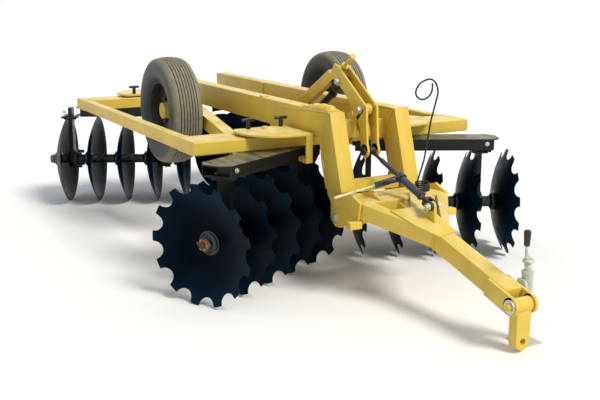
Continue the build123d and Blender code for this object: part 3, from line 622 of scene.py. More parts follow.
def barrel_finish():
    """The levelling jack's barrel: blue-black steel, with a pale plated handle beyond the casting."""
    finish = Finish("barrel_finish")
    casting_end = -0.170
    handle = finish.below(finish.axes["X"], casting_end, 0.004)
    steel = finish.mottled(STEEL_DARK, STEEL_BLUE, 30.0, 5.0, 0.35, 0.68, stretch=(1.0, 0.4, 1.0))
    plated = finish.mottled(HANDLE_DARK, HANDLE_PALE, 40.0, 4.0, 0.35, 0.65)
    return finish.done(finish.mix(handle, steel, plated), finish.range(handle, 0.0, 1.0, 0.30, 0.42),
                       260.0, 2.0, 0.1)


def jack_paint():
    """Pale grey-green enamel with worn marks, and soil towards the ground."""
    finish = Finish("jack_paint")
    paint = colours().jack
    base = finish.mottled(rgba(paint), rgba(paint, 0.55), 40.0, 6.0, 0.62, 0.72)
    soil = finish.range(finish.axes["Z"], 0.010, 0.10, 0.55, 0.0)
    return finish.done(finish.mix(soil, base, JACK_SOIL), 0.45, 240.0, 2.0, 0.1)


def crank_finish():
    """Plated crank rod, neck and cap."""
    finish = Finish("crank_finish")
    base = finish.mottled(CRANK_DARK, CRANK_PALE, 60.0, 4.0, 0.35, 0.65)
    return finish.done(base, 0.42, 240.0, 2.0, 0.1)


def grip_rubber():
    """Black moulded grip."""
    finish = Finish("grip_rubber")
    return finish.done(finish.mottled(GRIP_DARK, GRIP_GREY, 80.0, 4.0, 0.4, 0.7), 0.5, 200.0, 2.0, 0.15)


def spring_wire():
    """Black spring wire with thin bright rubs."""
    finish = Finish("spring_wire")
    base = finish.mottled(WIRE_BLACK, WIRE_RUB, 80.0, 5.0, 0.62, 0.75)
    return finish.done(base, 0.38, 300.0, 2.0, 0.1, Metallic=0.4)


FINISHES = {
    "yellow_paint": yellow_paint,
    "angle_plate_paint": angle_plate_paint,
    "blade_steel": blade_paint,
    "black_beam": black_paint,
    "arbor_paint": arbor_paint,
    "rim_paint": rim_paint,
    "tyre_rubber": tyre_rubber,
    "zinc_steel": zinc_plate,
    "worn_iron": rusty_iron,
    "screw_finish": screw_finish,
    "barrel_finish": barrel_finish,
    "jack_paint": jack_paint,
    "crank_finish": crank_finish,
    "grip_rubber": grip_rubber,
    "spring_steel": spring_wire,
}
made_finishes = {}


def finish_for(name):
    """The finish of that name, made at its first use."""
    if name not in made_finishes:
        made_finishes[name] = FINISHES[name]()
    return made_finishes[name]


def add_piece(name, parts, body, finish, replaces=(), sharp=35, wear_and_rim_share=None):
    """A mesh from parts, closed at its poles, on a body, with the named finish as its material."""
    points, quads = joined(parts)
    mesh = bpy.data.meshes.new(name)
    mesh.vertices.add(len(points))
    mesh.vertices.foreach_set("co", points.astype(np.float32).ravel())
    mesh.loops.add(quads.size)
    mesh.loops.foreach_set("vertex_index", quads.astype(np.int32).ravel())
    mesh.polygons.add(len(quads))
    mesh.polygons.foreach_set("loop_start", np.arange(0, quads.size, 4, dtype=np.int32))
    if wear_and_rim_share is not None:
        mesh.attributes.new("wear_and_rim_share", "FLOAT", "POINT").data.foreach_set("value", wear_and_rim_share.astype(np.float32))
    mesh.update(calc_edges=True)
    close = bmesh.new()
    close.from_mesh(mesh)
    bmesh.ops.remove_doubles(close, verts=close.verts, dist=1e-6)
    bmesh.ops.recalc_face_normals(close, faces=close.faces)
    close.to_mesh(mesh)
    close.free()
    mesh.shade_smooth()
    mesh.set_sharp_from_angle(angle=math.radians(sharp))
    mesh.materials.append(finish_for(finish))
    piece = bpy.data.objects.new(name, mesh)
    bpy.context.scene.collection.objects.link(piece)
    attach(piece, body)
    if replaces:
        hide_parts(*replaces)


def add_drawn(name, parts, body, finish, replaces=()):
    """A piece whose parts are in the drawing's millimetres."""
    parts = [(part[0] / 1000 + DRAWING_ZERO, part[1]) for part in parts]
    add_piece(name, parts, body, finish, replaces)


# Blades
HUB_HOLE = 0.02
NOTCH_SETBACK = 0.003
GROUND_WIDTH = 0.016
EDGE_THICKNESS = 0.0012


def blade_rim(turn, notched):
    """Radius of the rim at each angle: the blade's own, or the near side of the notch circle that cuts in."""
    rim = sizes().blade_diameter / 2
    if not notched:
        return np.full_like(turn, rim)
    pitch = 2 * np.pi / sizes().notch_count
    offset = (turn - sizes().notch_phase + pitch / 2) % pitch - pitch / 2
    center = rim + NOTCH_SETBACK
    inside = sizes().notch_radius ** 2 - (center * np.sin(offset)) ** 2
    bite = center * np.cos(offset) - np.sqrt(np.clip(inside, 0, None))
    return np.where(inside > 0, np.minimum(rim, bite), rim)


def blade_part(notched, toward):
    """Dished blade: its depth along X follows a sphere from the rim to the flat; both faces, ground edge."""
    rim = sizes().blade_diameter / 2
    dish = sizes().blade_dish
    ball = (rim ** 2 + dish ** 2) / (2 * dish)
    steps = 26 * sizes().notch_count if notched else 144
    turn = np.arange(steps) * 2 * np.pi / steps
    edge = blade_rim(turn, notched)[None, :]
    radius = HUB_HOLE + (edge - HUB_HOLE) * np.linspace(0, 1, 15)[:, None]
    depth = np.sqrt(ball ** 2 - np.maximum(radius, sizes().blade_flat * 0.55) ** 2) - (ball - dish)
    front = np.maximum(depth - sizes().blade_thickness, 0)
    ground = np.clip((edge - radius) / GROUND_WIDTH, 0, 1)
    back = front + np.maximum((depth - front) * (0.25 + 0.75 * ground), EDGE_THICKNESS)
    rows = np.concatenate([back, front[::-1]])
    radii = np.concatenate([radius, radius[::-1]])
    turn = np.broadcast_to(turn, rows.shape)
    points = np.stack([rows * toward, radii * np.cos(turn), radii * np.sin(turn)], axis=-1).reshape(-1, 3)
    # The share of the rim's radius at each point places the blades' painted reflection and highlight.
    return (points, grid_quads(len(rows), steps, wrap_rows=True, wrap_columns=True)), (radii / rim).ravel()


def on_gang(part, end, along=0.0):
    """A part in the right gang's own axes, in metres, laid from its outer blade's rim centre inward."""
    spin = joints[f"right_{end}_blades_spin"]
    return placed(part, np.array(spin["pos_m"]) + np.array(spin["axis"]) * along, spin["axis"])


def for_both_gangs(name, end, parts, body, finish, replaces=(), wear_and_rim_share=None):
    """The right gang's piece and its mirror image on the left."""
    for side in SIDES:
        own = parts if side == "right" else [mirrored(part) for part in parts]
        replaced = [f"{side}_{end}_{node}" for node in replaces]
        add_piece(f"{side}_{end}_{name}", own, f"{side}_{end}_{body}", finish, replaced, wear_and_rim_share=wear_and_rim_share)


class HARROW_OT_blades(Operator):
    """Notched blades in front and plain ones behind, five to a gang"""

    bl_idname = "harrow.blades"
    bl_label = "Blades"

    def execute(self, context):
        count = sizes().blade_count
        for end in ENDS:
            front = end == "front"
            blade, reach = blade_part(front, 1 if front else -1)
            parts = [on_gang(blade, end, sizes().blade_spacing * index) for index in range(count)]
            for_both_gangs("discs", end, parts, "blades", "blade_steel", replaces=["gang_blades"],
                           wear_and_rim_share=np.tile(reach, count))
        return {"FINISHED"}


# Castle nuts, bolts and brackets of the gangs, in millimetres of the gang's own axes
NUT_RADIUS = 34.7
NUT_THICKNESS = 19.5
NUT_CROWN = 8
NUT_FACE = 34.5
BELL_PROFILE = (
    (-4, 0), (-4, 65), (-2, 67), (4, 67), (6, 65), (7, 58), (9, 56.5), (13, 55.5), (18, 49), (22, 45.5),
    (23.5, 44.5), (24.5, 38), (36, 37), (36.8, 36), (36.8, 0))
HUB_FACE = {"front": (78.7, 1001.3), "rear": (-85.3, 837.3)}
STANDARD_BAYS = {"front": (196.5, 883.5), "rear": (32.5, 719.5)}
BEAM_TOP = 416.7
BEAM_DEPTH = 70
BEAM_FRONT, BEAM_MIDDLE, BEAM_BACK = -120, -20, 80
FLANGE_BOLT = 50


class HARROW_OT_gang_hardware(Operator):
    """Slotted arbor nuts with cotter pins, standard brackets, bearing bolts and clamp bars of the gangs"""

    bl_idname = "harrow.gang_hardware"
    bl_label = "Gang hardware"

    def execute(self, context):
        nut = castle_nut(NUT_RADIUS, NUT_THICKNESS, NUT_CROWN)
        bell = turned(BELL_PROFILE, 48)
        for end in ENDS:
            for name, parts, body, finish, slot in (
                    ("arbor_nuts", self.at_hub_faces(nut, end, NUT_FACE), "blades", "worn_iron", None),
                    ("bell_washers", self.at_hub_faces(bell, end, 0), "blades", "arbor_paint", "black_beam"),
                    ("brackets", self.brackets(end), "gang", "black_beam", None),
                    ("beam_bolts", self.bolts(end), "gang", "zinc_steel", None)):
                parts = [on_gang((part[0] / 1000, part[1]), end) for part in parts]
                for_both_gangs(name, end, parts, body, finish)
        return {"FINISHED"}

    def at_hub_faces(self, part, end, gap):
        """The part at both ends of the blades, each looking away from them."""
        outer, inner = HUB_FACE[end]
        return [(mirrored(part)[0] + (outer - gap, 0, 0), part[1]), (part[0] + (inner + gap, 0, 0), part[1])]

    def brackets(self, end):
        """Clamp bars across the beam's edges, a plate under them, and the bolts of the bearing's flange."""
        parts = []
        edge = BEAM_TOP - BEAM_DEPTH
        for center in STANDARD_BAYS[end]:
            for x in (center - 58, center + 30):
                parts.append(slab(x, x + 28, BEAM_FRONT + 1, BEAM_BACK - 1, edge - 12, edge + 1))
            parts.append(slab(center - 46, center + 46, BEAM_MIDDLE - 62, BEAM_MIDDLE + 62,
                              edge - 26, edge - 12))
            for y in (-FLANGE_BOLT, FLANGE_BOLT):
                for z in (-FLANGE_BOLT, FLANGE_BOLT):
                    parts.append(placed(hex_head(22, 40, 15), (center + 30, y, z), (1, 0, 0)))
        return parts

    def bolts(self, end):
        """One bolt through the beam's front and rear wall beside each standard."""
        return [placed(hex_head(19, 11, 14), (center - 30, y, BEAM_TOP - 30), (0, way, 0))
                for center in STANDARD_BAYS[end] for y, way in ((BEAM_FRONT, -1), (BEAM_BACK, 1))]


# Tyres: share of the half width, radius above the bead or below the tread's crown, and wear
SIDEWALL = (
    (0.60, 0.0005, 0.0), (0.72, 0.001, 0.0), (0.80, 0.010, 0.0), (0.84, 0.018, 0.0), (0.93, 0.035, 0.05),
    (0.985, 0.060, 0.1), (1.0, 0.078, 0.1), (0.995, 0.098, 0.1), (0.97, 0.116, 0.15), (0.965, 0.118, 0.5))
SHOULDER = ((0.92, 0.028, 0.75), (0.84, 0.016, 0.9))
BEAD_RADIUS = 0.192
CROWN_SHARE = 0.74
CROWN_DROP = 0.010
RIB_EDGE = 0.002
WHEEL_NUTS = 6
NUT_CIRCLE = 0.085
DISC_FACE = 0.0135


def tyre_profile():
    """Section over the tyre: (along the axle, radius, wear); the crown is a parabola, cut by grooves."""
    low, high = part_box("right_tire")
    half = (high.x - low.x) / 2
    outer = (high.z - low.z) / 2
    side = [(half * share, BEAD_RADIUS + rise, wear_and_rim_share) for share, rise, wear_and_rim_share in SIDEWALL]
    side += [(half * share, outer - drop, wear_and_rim_share) for share, drop, wear_and_rim_share in SHOULDER]
    groove = sizes().groove_width
    crown = half * CROWN_SHARE
    last = sizes().rib_count - 1
    pitch = 2 * crown / sizes().rib_count
    tread = []
    for index in range(sizes().rib_count):
        left = -crown + index * pitch + (groove / 2 if index else 0)
        right = -crown + (index + 1) * pitch - (groove / 2 if index < last else 0)
        for x in (left, left + RIB_EDGE, (left + right) / 2, right - RIB_EDGE, right):
            drop = CROWN_DROP * (x / crown) ** 2 + (0.0015 if x in (left, right) else 0)
            tread.append((x, outer - drop, 1.0))
        if index < last:
            for x in (right + groove * 0.15, right + groove * 0.5, right + groove * 0.85):
                tread.append((x, outer - sizes().groove_depth - CROWN_DROP * (x / crown) ** 2, 0.05))
    return [(-x, radius, wear_and_rim_share) for x, radius, wear_and_rim_share in side] + tread + side[::-1]


class HARROW_OT_tyres(Operator):
    """Rib tyres with grooved crowns and rounded sidewalls, and the wheels' nuts"""

    bl_idname = "harrow.tyres"
    bl_label = "Tyres"

    def execute(self, context):
        profile = np.array(tyre_profile())
        segments = 120
        tyre = turned(profile[:, :2], segments, wrap_rows=True)
        wear_and_rim_share = np.repeat(profile[:, 2], segments)
        for side, outward in zip(SIDES, (-1, 1)):
            origin = np.array(joints[f"{side}_wheel_spin"]["pos_m"])
            add_piece(f"{side}_rib_tyre", [placed(tyre, origin, (1, 0, 0))], f"{side}_wheel", "tyre_rubber",
                      replaces=[f"{side}_tire"], sharp=50, wear_and_rim_share=wear_and_rim_share)
            nuts = []
            for turn in np.arange(WHEEL_NUTS) * 2 * np.pi / WHEEL_NUTS:
                spot = (outward * DISC_FACE, NUT_CIRCLE * math.cos(turn), NUT_CIRCLE * math.sin(turn))
                nuts.append(placed(hex_head(0.024, 0.016, 0.017), origin + spot, (outward, 0, 0)))
            add_piece(f"{side}_wheel_nuts", nuts, f"{side}_wheel", "arbor_paint")
        return {"FINISHED"}


# The drawing, in its millimetres. The main beams' faces are given by X; points and outlines are (y, z).
SIDE_FACE = 263
INNER_FACE = 167
PIVOT = (-1143, 416)
LEVER_PIVOT = (-990, 975)
LINK_PIN = (-754, 1112)
LINK_FOOT = (-275.05, 803.26)
JACK_PIN = (-1040, 748)
JACK_LUG = (-1626, 548)
HITCH_PIN = (-2305, 228)

BEAM_REAR = 1478
LEG_TOP = (-1028, 975)
LEG_FRONT = (-1157.5, 551.4)
LEG_REAR = (-1012.2, 506.9)
LEG_CORNER = (-915.5, 823)
BEAM_OUTLINE = ((BEAM_REAR, LEG_CORNER[1]), (BEAM_REAR, LEG_TOP[1]), LEG_TOP, LEG_CORNER)
LEG_OUTLINE = (LEG_TOP, LEG_FRONT, LEG_REAR, LEG_CORNER)
FOOT_OUTLINE = ((-1150, 551), (-1184, 425), (-1172, 388), (-1112, 386), (-1099, 420), (-1014, 507))


def line_between(start, end):
    """Two (y, z) points as vectors, their line's direction, the direction square to it, and its length."""
    start, end = np.array([0, *start], float), np.array([0, *end], float)
    span = float(np.linalg.norm(end - start))
    way = (end - start) / span
    return start, end, way, np.array([0, -way[2], way[1]]), span


class HARROW_OT_main_beams(Operator):
    """Deep beams mitred down into the front legs, with the pivot eyes at their feet"""

    bl_idname = "harrow.main_beams"
    bl_label = "Main beams"

    def execute(self, context):
        right = [plate(BEAM_OUTLINE, -SIDE_FACE, -INNER_FACE, 4.0),
                 plate(LEG_OUTLINE, -SIDE_FACE, -INNER_FACE, 4.0),
                 plate(FOOT_OUTLINE, -SIDE_FACE + 1, -INNER_FACE - 1, 3.0),
                 cross_bar(PIVOT, -SIDE_FACE, -INNER_FACE, 44)]
        for side, parts in zip(SIDES, (right, [mirrored(part) for part in right])):
            add_drawn(f"{side}_beam_and_leg", parts, "frame", "yellow_paint", replaces=[f"{side}_main_beam"])
        return {"FINISHED"}


# Tongue
CHEEK_OUTLINE = (
    (-1093, 512), (-1283, 579), (-1391, 543), (-1369, 447), (-1190, 368), (-1140, 366), (-1095, 400))
CHEEKS = ((-292, -272), (-158, -138), (138, 158), (272, 292))
BOX_OUTLINE = ((-1165, 543), (-1392, 543), (-1392, 445), (-1250, 445), (-1240, 490), (-1165, 529))
BOX_HALF = 272
BOX_FRONT = -1392
BOX_TOP = 543
BRACE_SLOPE = math.radians(18.5)
BRACE_OUTLINE = ((-272, 0), (-277, -10), (-50, -333), (-20, -333), (-30, -300), (-206, 0))
BRACE_DEPTH = 92
TOP_PLATE = (
    (-170, -1490), (-40, -1490), (50, -1352), (156, -1352), (156, -1440), (66, -1560), (65, -1736),
    (-50, -1766), (-118, -1650))
TOP_PLATE_THICKNESS = 9
TUBE_START = (-1382, 480)
TUBE_AIM = (BOX_FRONT, 477)
TUBE_HALF = (50, 48)
LUG_HALF = 8
LUG_CORNERS = ((-30, -100), (-25, 0), (25, 0), (36, -88))
EAR_GAP = 62
EAR_LENGTH = 180
EAR_RADIUS = 46
EAR_BACK = 45
EARS = ((-66.3, -50.3), (50.3, 66.3))
EYE_DROP = 172
EYE_RADIUS = 42
EYE_BORE = 17


def on_brace_plane(part):
    """A part whose X is square to the braces' top, Y across the machine and Z rearwards along the slope."""
    rise = (0, math.cos(BRACE_SLOPE), math.sin(BRACE_SLOPE))
    normal = (0, -math.sin(BRACE_SLOPE), math.cos(BRACE_SLOPE))
    return placed(part, (0, BOX_FRONT, BOX_TOP), normal, rise)


class HARROW_OT_tongue(Operator):
    """Tongue: a box between six-sided cheeks, two braces, the central tube, its top plate, lug and hitch"""

    bl_idname = "harrow.tongue"
    bl_label = "Tongue"

    def execute(self, context):
        parts = [plate(BOX_OUTLINE, -BOX_HALF, BOX_HALF, 3.0)]
        parts += [plate(CHEEK_OUTLINE, x0, x1, 2.5) for x0, x1 in CHEEKS]
        parts += both_sides([on_brace_plane(plate(BRACE_OUTLINE, -BRACE_DEPTH, 0, 3.0))])
        outline = [(x, (y - BOX_FRONT) / math.cos(BRACE_SLOPE)) for x, y in TOP_PLATE]
        parts.append(on_brace_plane(plate(outline, 0, TOP_PLATE_THICKNESS, 1.5)))

        _, pin, way, square, _ = line_between(TUBE_AIM, HITCH_PIN)
        start = np.array([0, *TUBE_START], float)
        across, deep = TUBE_HALF
        tube = slab(0, float(np.linalg.norm(pin - way * EAR_GAP - start)), -across, across, -deep, deep, 4.0)
        parts.append(placed(tube, start, way))
        lug = [(JACK_LUG[0] + y, JACK_LUG[1] + z) for y, z in LUG_CORNERS]
        parts.append(plate(lug, -LUG_HALF, LUG_HALF, 1.5))
        parts.append(cross_bar(JACK_LUG, -LUG_HALF, LUG_HALF, 26))
        add_drawn("tongue_and_cheeks", parts, "tongue", "yellow_paint", replaces=["tongue_frame"])

        back = pin - way * EAR_LENGTH
        outline = [pin - square * EAR_RADIUS, pin + square * EAR_RADIUS, back + square * EAR_BACK,
                   back - square * EAR_BACK]
        ears = []
        for x0, x1 in EARS:
            ears.append(plate([corner[1:] for corner in outline], x0, x1, 2.0))
            ears.append(cross_bar(HITCH_PIN, x0, x1, EAR_RADIUS))
        add_drawn("hitch_ears", ears, "tongue", "yellow_paint", replaces=["hitch_cheeks"])
        bar = [cross_bar(HITCH_PIN, -80, 80, 20, 3.0)]
        bar += [placed(hex_head(30, 12), (side * 76, *HITCH_PIN), (side, 0, 0)) for side in (-1, 1)]
        add_drawn("hitch_pin_bar", bar, "tongue", "yellow_paint", replaces=["hitch_pin"])
        self.hitch_link()
        return {"FINISHED"}

    def hitch_link(self):
        """Link under the pin's barrel: round about its eye, straight above it, with the bore left open."""
        segments = 96
        eye = HITCH_PIN[1] - EYE_DROP
        turn = np.arange(segments) * 2 * np.pi / segments
        rising = np.sin(turn)
        side = EYE_RADIUS / np.maximum(np.abs(np.cos(turn)), 1e-6)
        top = (EYE_DROP - 10) / np.maximum(rising, 1e-6)
        reach = np.where(rising <= 0, EYE_RADIUS, np.minimum(side, top))
        rows = []
        for y, radius in ((-27, EYE_BORE), (-27, reach - 3), (-26, reach - 1), (-24, reach),
                          (24, reach), (26, reach - 1), (27, reach - 3), (27, EYE_BORE)):
            across = np.full(segments, HITCH_PIN[0] + y)
            rows.append(np.stack([radius * np.cos(turn), across, eye + radius * rising], axis=1))
        body = (np.concatenate(rows), grid_quads(len(rows), segments, wrap_rows=True, wrap_columns=True))
        barrel = cross_bar(HITCH_PIN, -48, 48, 36, 2.0, 40)
        add_drawn("hitch_link_bar", [body, barrel], "hitch_link", "yellow_paint", replaces=["hitch_link"])


# Lift linkage
LEVER_ARM = ((-1050, 997), (-740, 1203), (-702, 1212), (-660, 1143), (-806, 1066), (-896, 986), (-960, 905))
LEVER_SHANK = (
    (-1050, 1000), (-950, 930), (-988, 866), (-1000, 796), (-1003, 752), (-1078, 752), (-1064, 794))
LEVERS = ((-42, -28), (28, 42))
LEVER_FACE = 42.3
PIN_RADIUS = 14
WASHER_RADIUS = 24
STAND_OUTLINE = ((-931, 815), (-931, 908), (-1014, 950), (-1020, 985), (-990, 1008), (-958, 985), (-856, 908))
STAND_PLATES = ((-22, -8), (8, 22))
STAND_TUBE = (-930, -846, 807, 905)
# The lift bar's two halves and its post: along the link from its upper pin, and square to it
LIFT_BAR_UPPER = ((78, 59), (96, 130), (530, 153), (455, 73))
LIFT_BAR_SHOULDER = ((455, 73), (530, 153))
LIFT_POST = ((92, -10), (92, 70), (116, 72), (116, -10))
HANDLE_RISE = math.radians(10.7)
HANDLE_LENGTH = 412
RATCHET_AT = 317
RATCHET_PROFILE = ((0, 0), (0, 14), (4, 18), (36, 16), (40, 13), (40, 0))
FORK_PLATES = ((-24, -11), (11, 24))


class HARROW_OT_linkage(Operator):
    """Bent lift levers, the stand and tube that carry them, the lift link and the levelling jack"""

    bl_idname = "harrow.linkage"
    bl_label = "Lift linkage"

    def execute(self, context):
        plates = []
        for x0, x1 in LEVERS:
            plates += [plate(LEVER_ARM, x0, x1, 1.5), plate(LEVER_SHANK, x0, x1, 1.5)]
            plates.append(cross_bar(JACK_PIN, x0, x1, 38))
        add_drawn("bent_levers", plates, "levers", "yellow_paint", replaces=["lift_levers"])
        pins = []
        for spot in (LEVER_PIVOT, LINK_PIN):
            pins += [cross_bar(spot, -56, 56, PIN_RADIUS), *washers(spot, LEVER_FACE, 50, WASHER_RADIUS)]
        add_drawn("lever_pins", pins, "levers", "zinc_steel", replaces=["lift_lever_pins"])

        stand = [slab(-INNER_FACE, INNER_FACE, *STAND_TUBE, 4.0)]
        stand += [plate(STAND_OUTLINE, x0, x1, 1.5) for x0, x1 in STAND_PLATES]
        stand.append(cross_bar(LEVER_PIVOT, -24, 24, 32))
        add_drawn("lever_stand_and_tube", stand, "frame", "yellow_paint", replaces=["lever_stand"])
        self.lift_link()
        self.level_jack()
        return {"FINISHED"}

    def lift_link(self):
        """Yellow offset bar over a round black screw, both between the link's two pins."""
        upper, lower, way, above, span = line_between(LINK_PIN, LINK_FOOT)

        def bar(outline, half, soften):
            return plate([(upper + way * u + above * v)[1:] for u, v in outline], -half, half, soften)

        parts = [bar(LIFT_BAR_UPPER, 20, 2.5), bar((*LIFT_BAR_SHOULDER, (span, 24), (520, -20)), 20, 2.5),
                 cross_bar(LINK_FOOT, -25, 25, 34)]
        add_drawn("lift_bar", parts, "lift_link", "yellow_paint", replaces=["lift_link"])
        screw = [cross_bar(LINK_PIN, -20, 20, 30), round_bar(upper + way * 16, upper + way * 150, 13),
                 round_bar(upper + way * 140, lower - way * 20, 22),
                 round_bar(upper + way * 146, upper + way * 166, 27), bar(LIFT_POST, 18, 2.0)]
        add_drawn("lift_screw", screw, "lift_link", "black_beam")
        pin = [cross_bar(LINK_FOOT, -61, 61, PIN_RADIUS), *washers(LINK_FOOT, 47.3, 55, 28)]
        add_drawn("lift_link_pin", pin, "lift_link", "zinc_steel")

    def level_jack(self):
        """The jack's round pieces lie along the line from the levers' lower pin to the tongue's lug."""
        upper, _, way, down, span = line_between(JACK_PIN, JACK_LUG)

        def rod(start, end, radius):
            return round_bar(upper + way * start, upper + way * end, radius)

        barrel = [rod(118, 306, 13), rod(300, 334, 29), rod(330, span - 104, 20),
                  rod(span - 112, span - 100, 24)]
        middle = upper + way * RATCHET_AT
        reach = np.array([-math.cos(HANDLE_RISE), 0, 0]) + down * math.sin(HANDLE_RISE)
        barrel += [round_bar(middle, middle + reach * HANDLE_LENGTH, 7),
                   placed(slab(0, 165, -8, 8, -17, 17), middle, reach, down),
                   placed(turned(RATCHET_PROFILE, 20), middle + reach * 40, reach, down),
                   round_bar(middle + reach * 120, middle + reach * 176, 11)]
        add_drawn("level_barrel", barrel, "level_jack", "barrel_finish", ["level_jack_barrel"])

        screws = [cross_bar(JACK_PIN, -20, 20, 26), rod(18, 140, 9), rod(span - 130, span - 50, 13),
                  placed(slab(span - 62, span - 40, -24, 24, -22, 22), upper, way, down)]
        for x0, x1 in FORK_PLATES:
            screws += [placed(slab(span - 46, span, x0, x1, -24, 24), upper, way, down),
                       cross_bar(JACK_LUG, x0, x1, 24)]
        screws += [cross_bar(JACK_PIN, -58, 58, PIN_RADIUS),
                   *washers(JACK_PIN, LEVER_FACE, 56, WASHER_RADIUS)]
        add_drawn("level_screws", screws, "level_jack", "screw_finish", ["level_jack_screws"])
        pin = [cross_bar(JACK_LUG, -40, 40, 13), *washers(JACK_LUG, 24.3, 36, 20)]
        add_drawn("level_pin", pin, "tongue", "zinc_steel", replaces=["level_jack_pin"])


# Parking jack; its profiles are (height, radius)
JACK_X, JACK_Y = 108, -2225
JACK_TUBE = ((100, 20.4), (100, 25), (102, 27), (336, 27), (337, 29), (352, 29), (353, 27), (353, 0))
JACK_LINING = ((100, 20.4), (330, 20.4), (330, 0))
JACK_NECK = ((353, 0), (353, 17), (392, 17), (394, 26), (404, 27), (408, 24), (408, 0))
JACK_FOOT = (55, 65)
LEG_TOP_HEIGHT = 246
CRANK_OFFSET = 15
GRIP_PROFILE = ((0, 0), (0, 0.0125), (0.006, 0.0142), (0.024, 0.0146), (0.058, 0.0172), (0.068, 0.0172),
                (0.0735, 0.015), (0.0765, 0.009), (0.0775, 0))


class HARROW_OT_parking_jack(Operator):
    """Parking jack's tube with its collar, the leg and foot, and the crank's neck, cap and rod"""

    bl_idname = "harrow.parking_jack"
    bl_label = "Parking jack"

    def execute(self, context):
        x, y = JACK_X, JACK_Y
        parts = [upright(turned(JACK_TUBE, 36), x, y), upright(turned(JACK_LINING, 36), x, y),
                 slab(66.9, x - 22, y - 26, y + 26, 236, 316, 3.0),
                 round_bar((67, y, 280), (x - 22, y, 280), 36)]
        add_drawn("jack_outer_tube", parts, "tongue", "jack_paint", replaces=["jack_tube"])
        across, deep = JACK_FOOT
        leg = [slab(x - across, x + across, y - deep, y + deep, 0, 8, 1.5),
               round_bar((x, y, 6), (x, y, LEG_TOP_HEIGHT), 20)]
        add_drawn("jack_leg_and_foot", leg, "jack_leg", "jack_paint", replaces=["jack_leg"])
        rod = x - CRANK_OFFSET
        crank = [upright(turned(JACK_NECK, 32), x, y), round_bar((x, y, 400), (x, y, 424), 10),
                 round_bar((x + 4, y, 416), (rod - 5, y, 416), 8), round_bar((rod, y, 408), (rod, y, 500), 7)]
        add_drawn("jack_crank_rod", crank, "tongue", "crank_finish", ["jack_crank"])
        return {"FINISHED"}


# Welds and small pieces
BEAM_WELDS = (((-738, 824), (-509, 824)), ((1387, 824), (1476, 824)),
              ((-1026, 973), (-983, 950), (-928, 851), (-917, 826)))
LEG_WELD = ((-928, 851), (-945, 700), (-1000, 545))
STAND_TUBE_WELD = ((-931, 812), (-931, 900), (-925, 907), (-852, 907), (-845, 900), (-845, 812))
STAND_WELD = ((-931, 820), (-931, 900), (-922, 908), (-858, 908))
GUSSET_OUTLINE = ((-935, 842), (-861, 770), (-827, 935), (-880, 955))
CAP_X, CAP_Z = -216, 983


class HARROW_OT_frame_details(Operator):
    """Weld beads, a gusset, brackets, lumps and bolts on the frame"""

    bl_idname = "harrow.frame_details"
    bl_label = "Frame details"

    def execute(self, context):
        beads = [side_bead(x, *corners) for x in (-SIDE_FACE, -INNER_FACE) for corners in BEAM_WELDS]
        beads.append(side_bead(-SIDE_FACE, *LEG_WELD))
        for y in (-507, 1385):
            beads.append(weld_bead((-940, y, 823), (-884, y, 823), (-882, y, 815), (-882, y, 752)))
        beads += [side_bead(x, (-386, 822), (-254, 822)) for x in (-236, -194)]
        beads.append(side_bead(-INNER_FACE, *STAND_TUBE_WELD))
        add_piece("frame_welds", both_sides(beads), "frame", "yellow_paint")
        beads = [side_bead(x, *STAND_WELD) for x in (-22, 22)]
        add_piece("lever_stand_welds", beads, "frame", "yellow_paint")

        gusset = plate(GUSSET_OUTLINE, -26.5, -21.5, 1.0)
        rib = slab(INNER_FACE - 9, INNER_FACE, 631, 676, 826, 972)
        clip = slab(-262, -214, -206, -168, 974, 986)
        cap = slab(-256, -176, -998, -706, 974.5, 984, 3.0)
        add_drawn("frame_brackets", (gusset, rib, clip, cap), "frame", "yellow_paint")

        lumps = []
        for y, reach, height in ((-812, 36, 20), (-880, 40, 26), (-948, 38, 24)):
            lumps.append(upright(dome(reach, height, 28), CAP_X, y, CAP_Z))
            lumps += [upright(hex_head(16, 10, 12), CAP_X + x, y + 34, CAP_Z) for x in (-32, 32)]
        add_drawn("beam_top_caps", lumps, "frame", "yellow_paint")
        return {"FINISHED"}


class HARROW_OT_linkage_details(Operator):
    """Nuts on the ends of the linkage's pins and of the tongue's pivot pins"""

    bl_idname = "harrow.linkage_details"
    bl_label = "Linkage details"

    def execute(self, context):
        lever_ends = [(way * 49.5, *spot, way) for spot in (LEVER_PIVOT, LINK_PIN) for way in (-1, 1)]
        level_ends = [(way * 36, *JACK_LUG, way) for way in (-1, 1)]
        pivot_ends = [(x, *PIVOT, way) for x, way in ((-296.5, -1), (-133.5, 1), (133.5, -1), (296.5, 1))]
        for name, ends, body, across, height in (("lever_pin_nuts", lever_ends, "levers", 30, 13),
                                                 ("level_pin_nuts", level_ends, "tongue", 26, 10),
                                                 ("pivot_nuts", pivot_ends, "frame", 34, 12)):
            nuts = [placed(hex_head(across, height), (x, y, z), (way, 0, 0)) for x, y, z, way in ends]
            add_drawn(name, nuts, body, "zinc_steel")
        return {"FINISHED"}


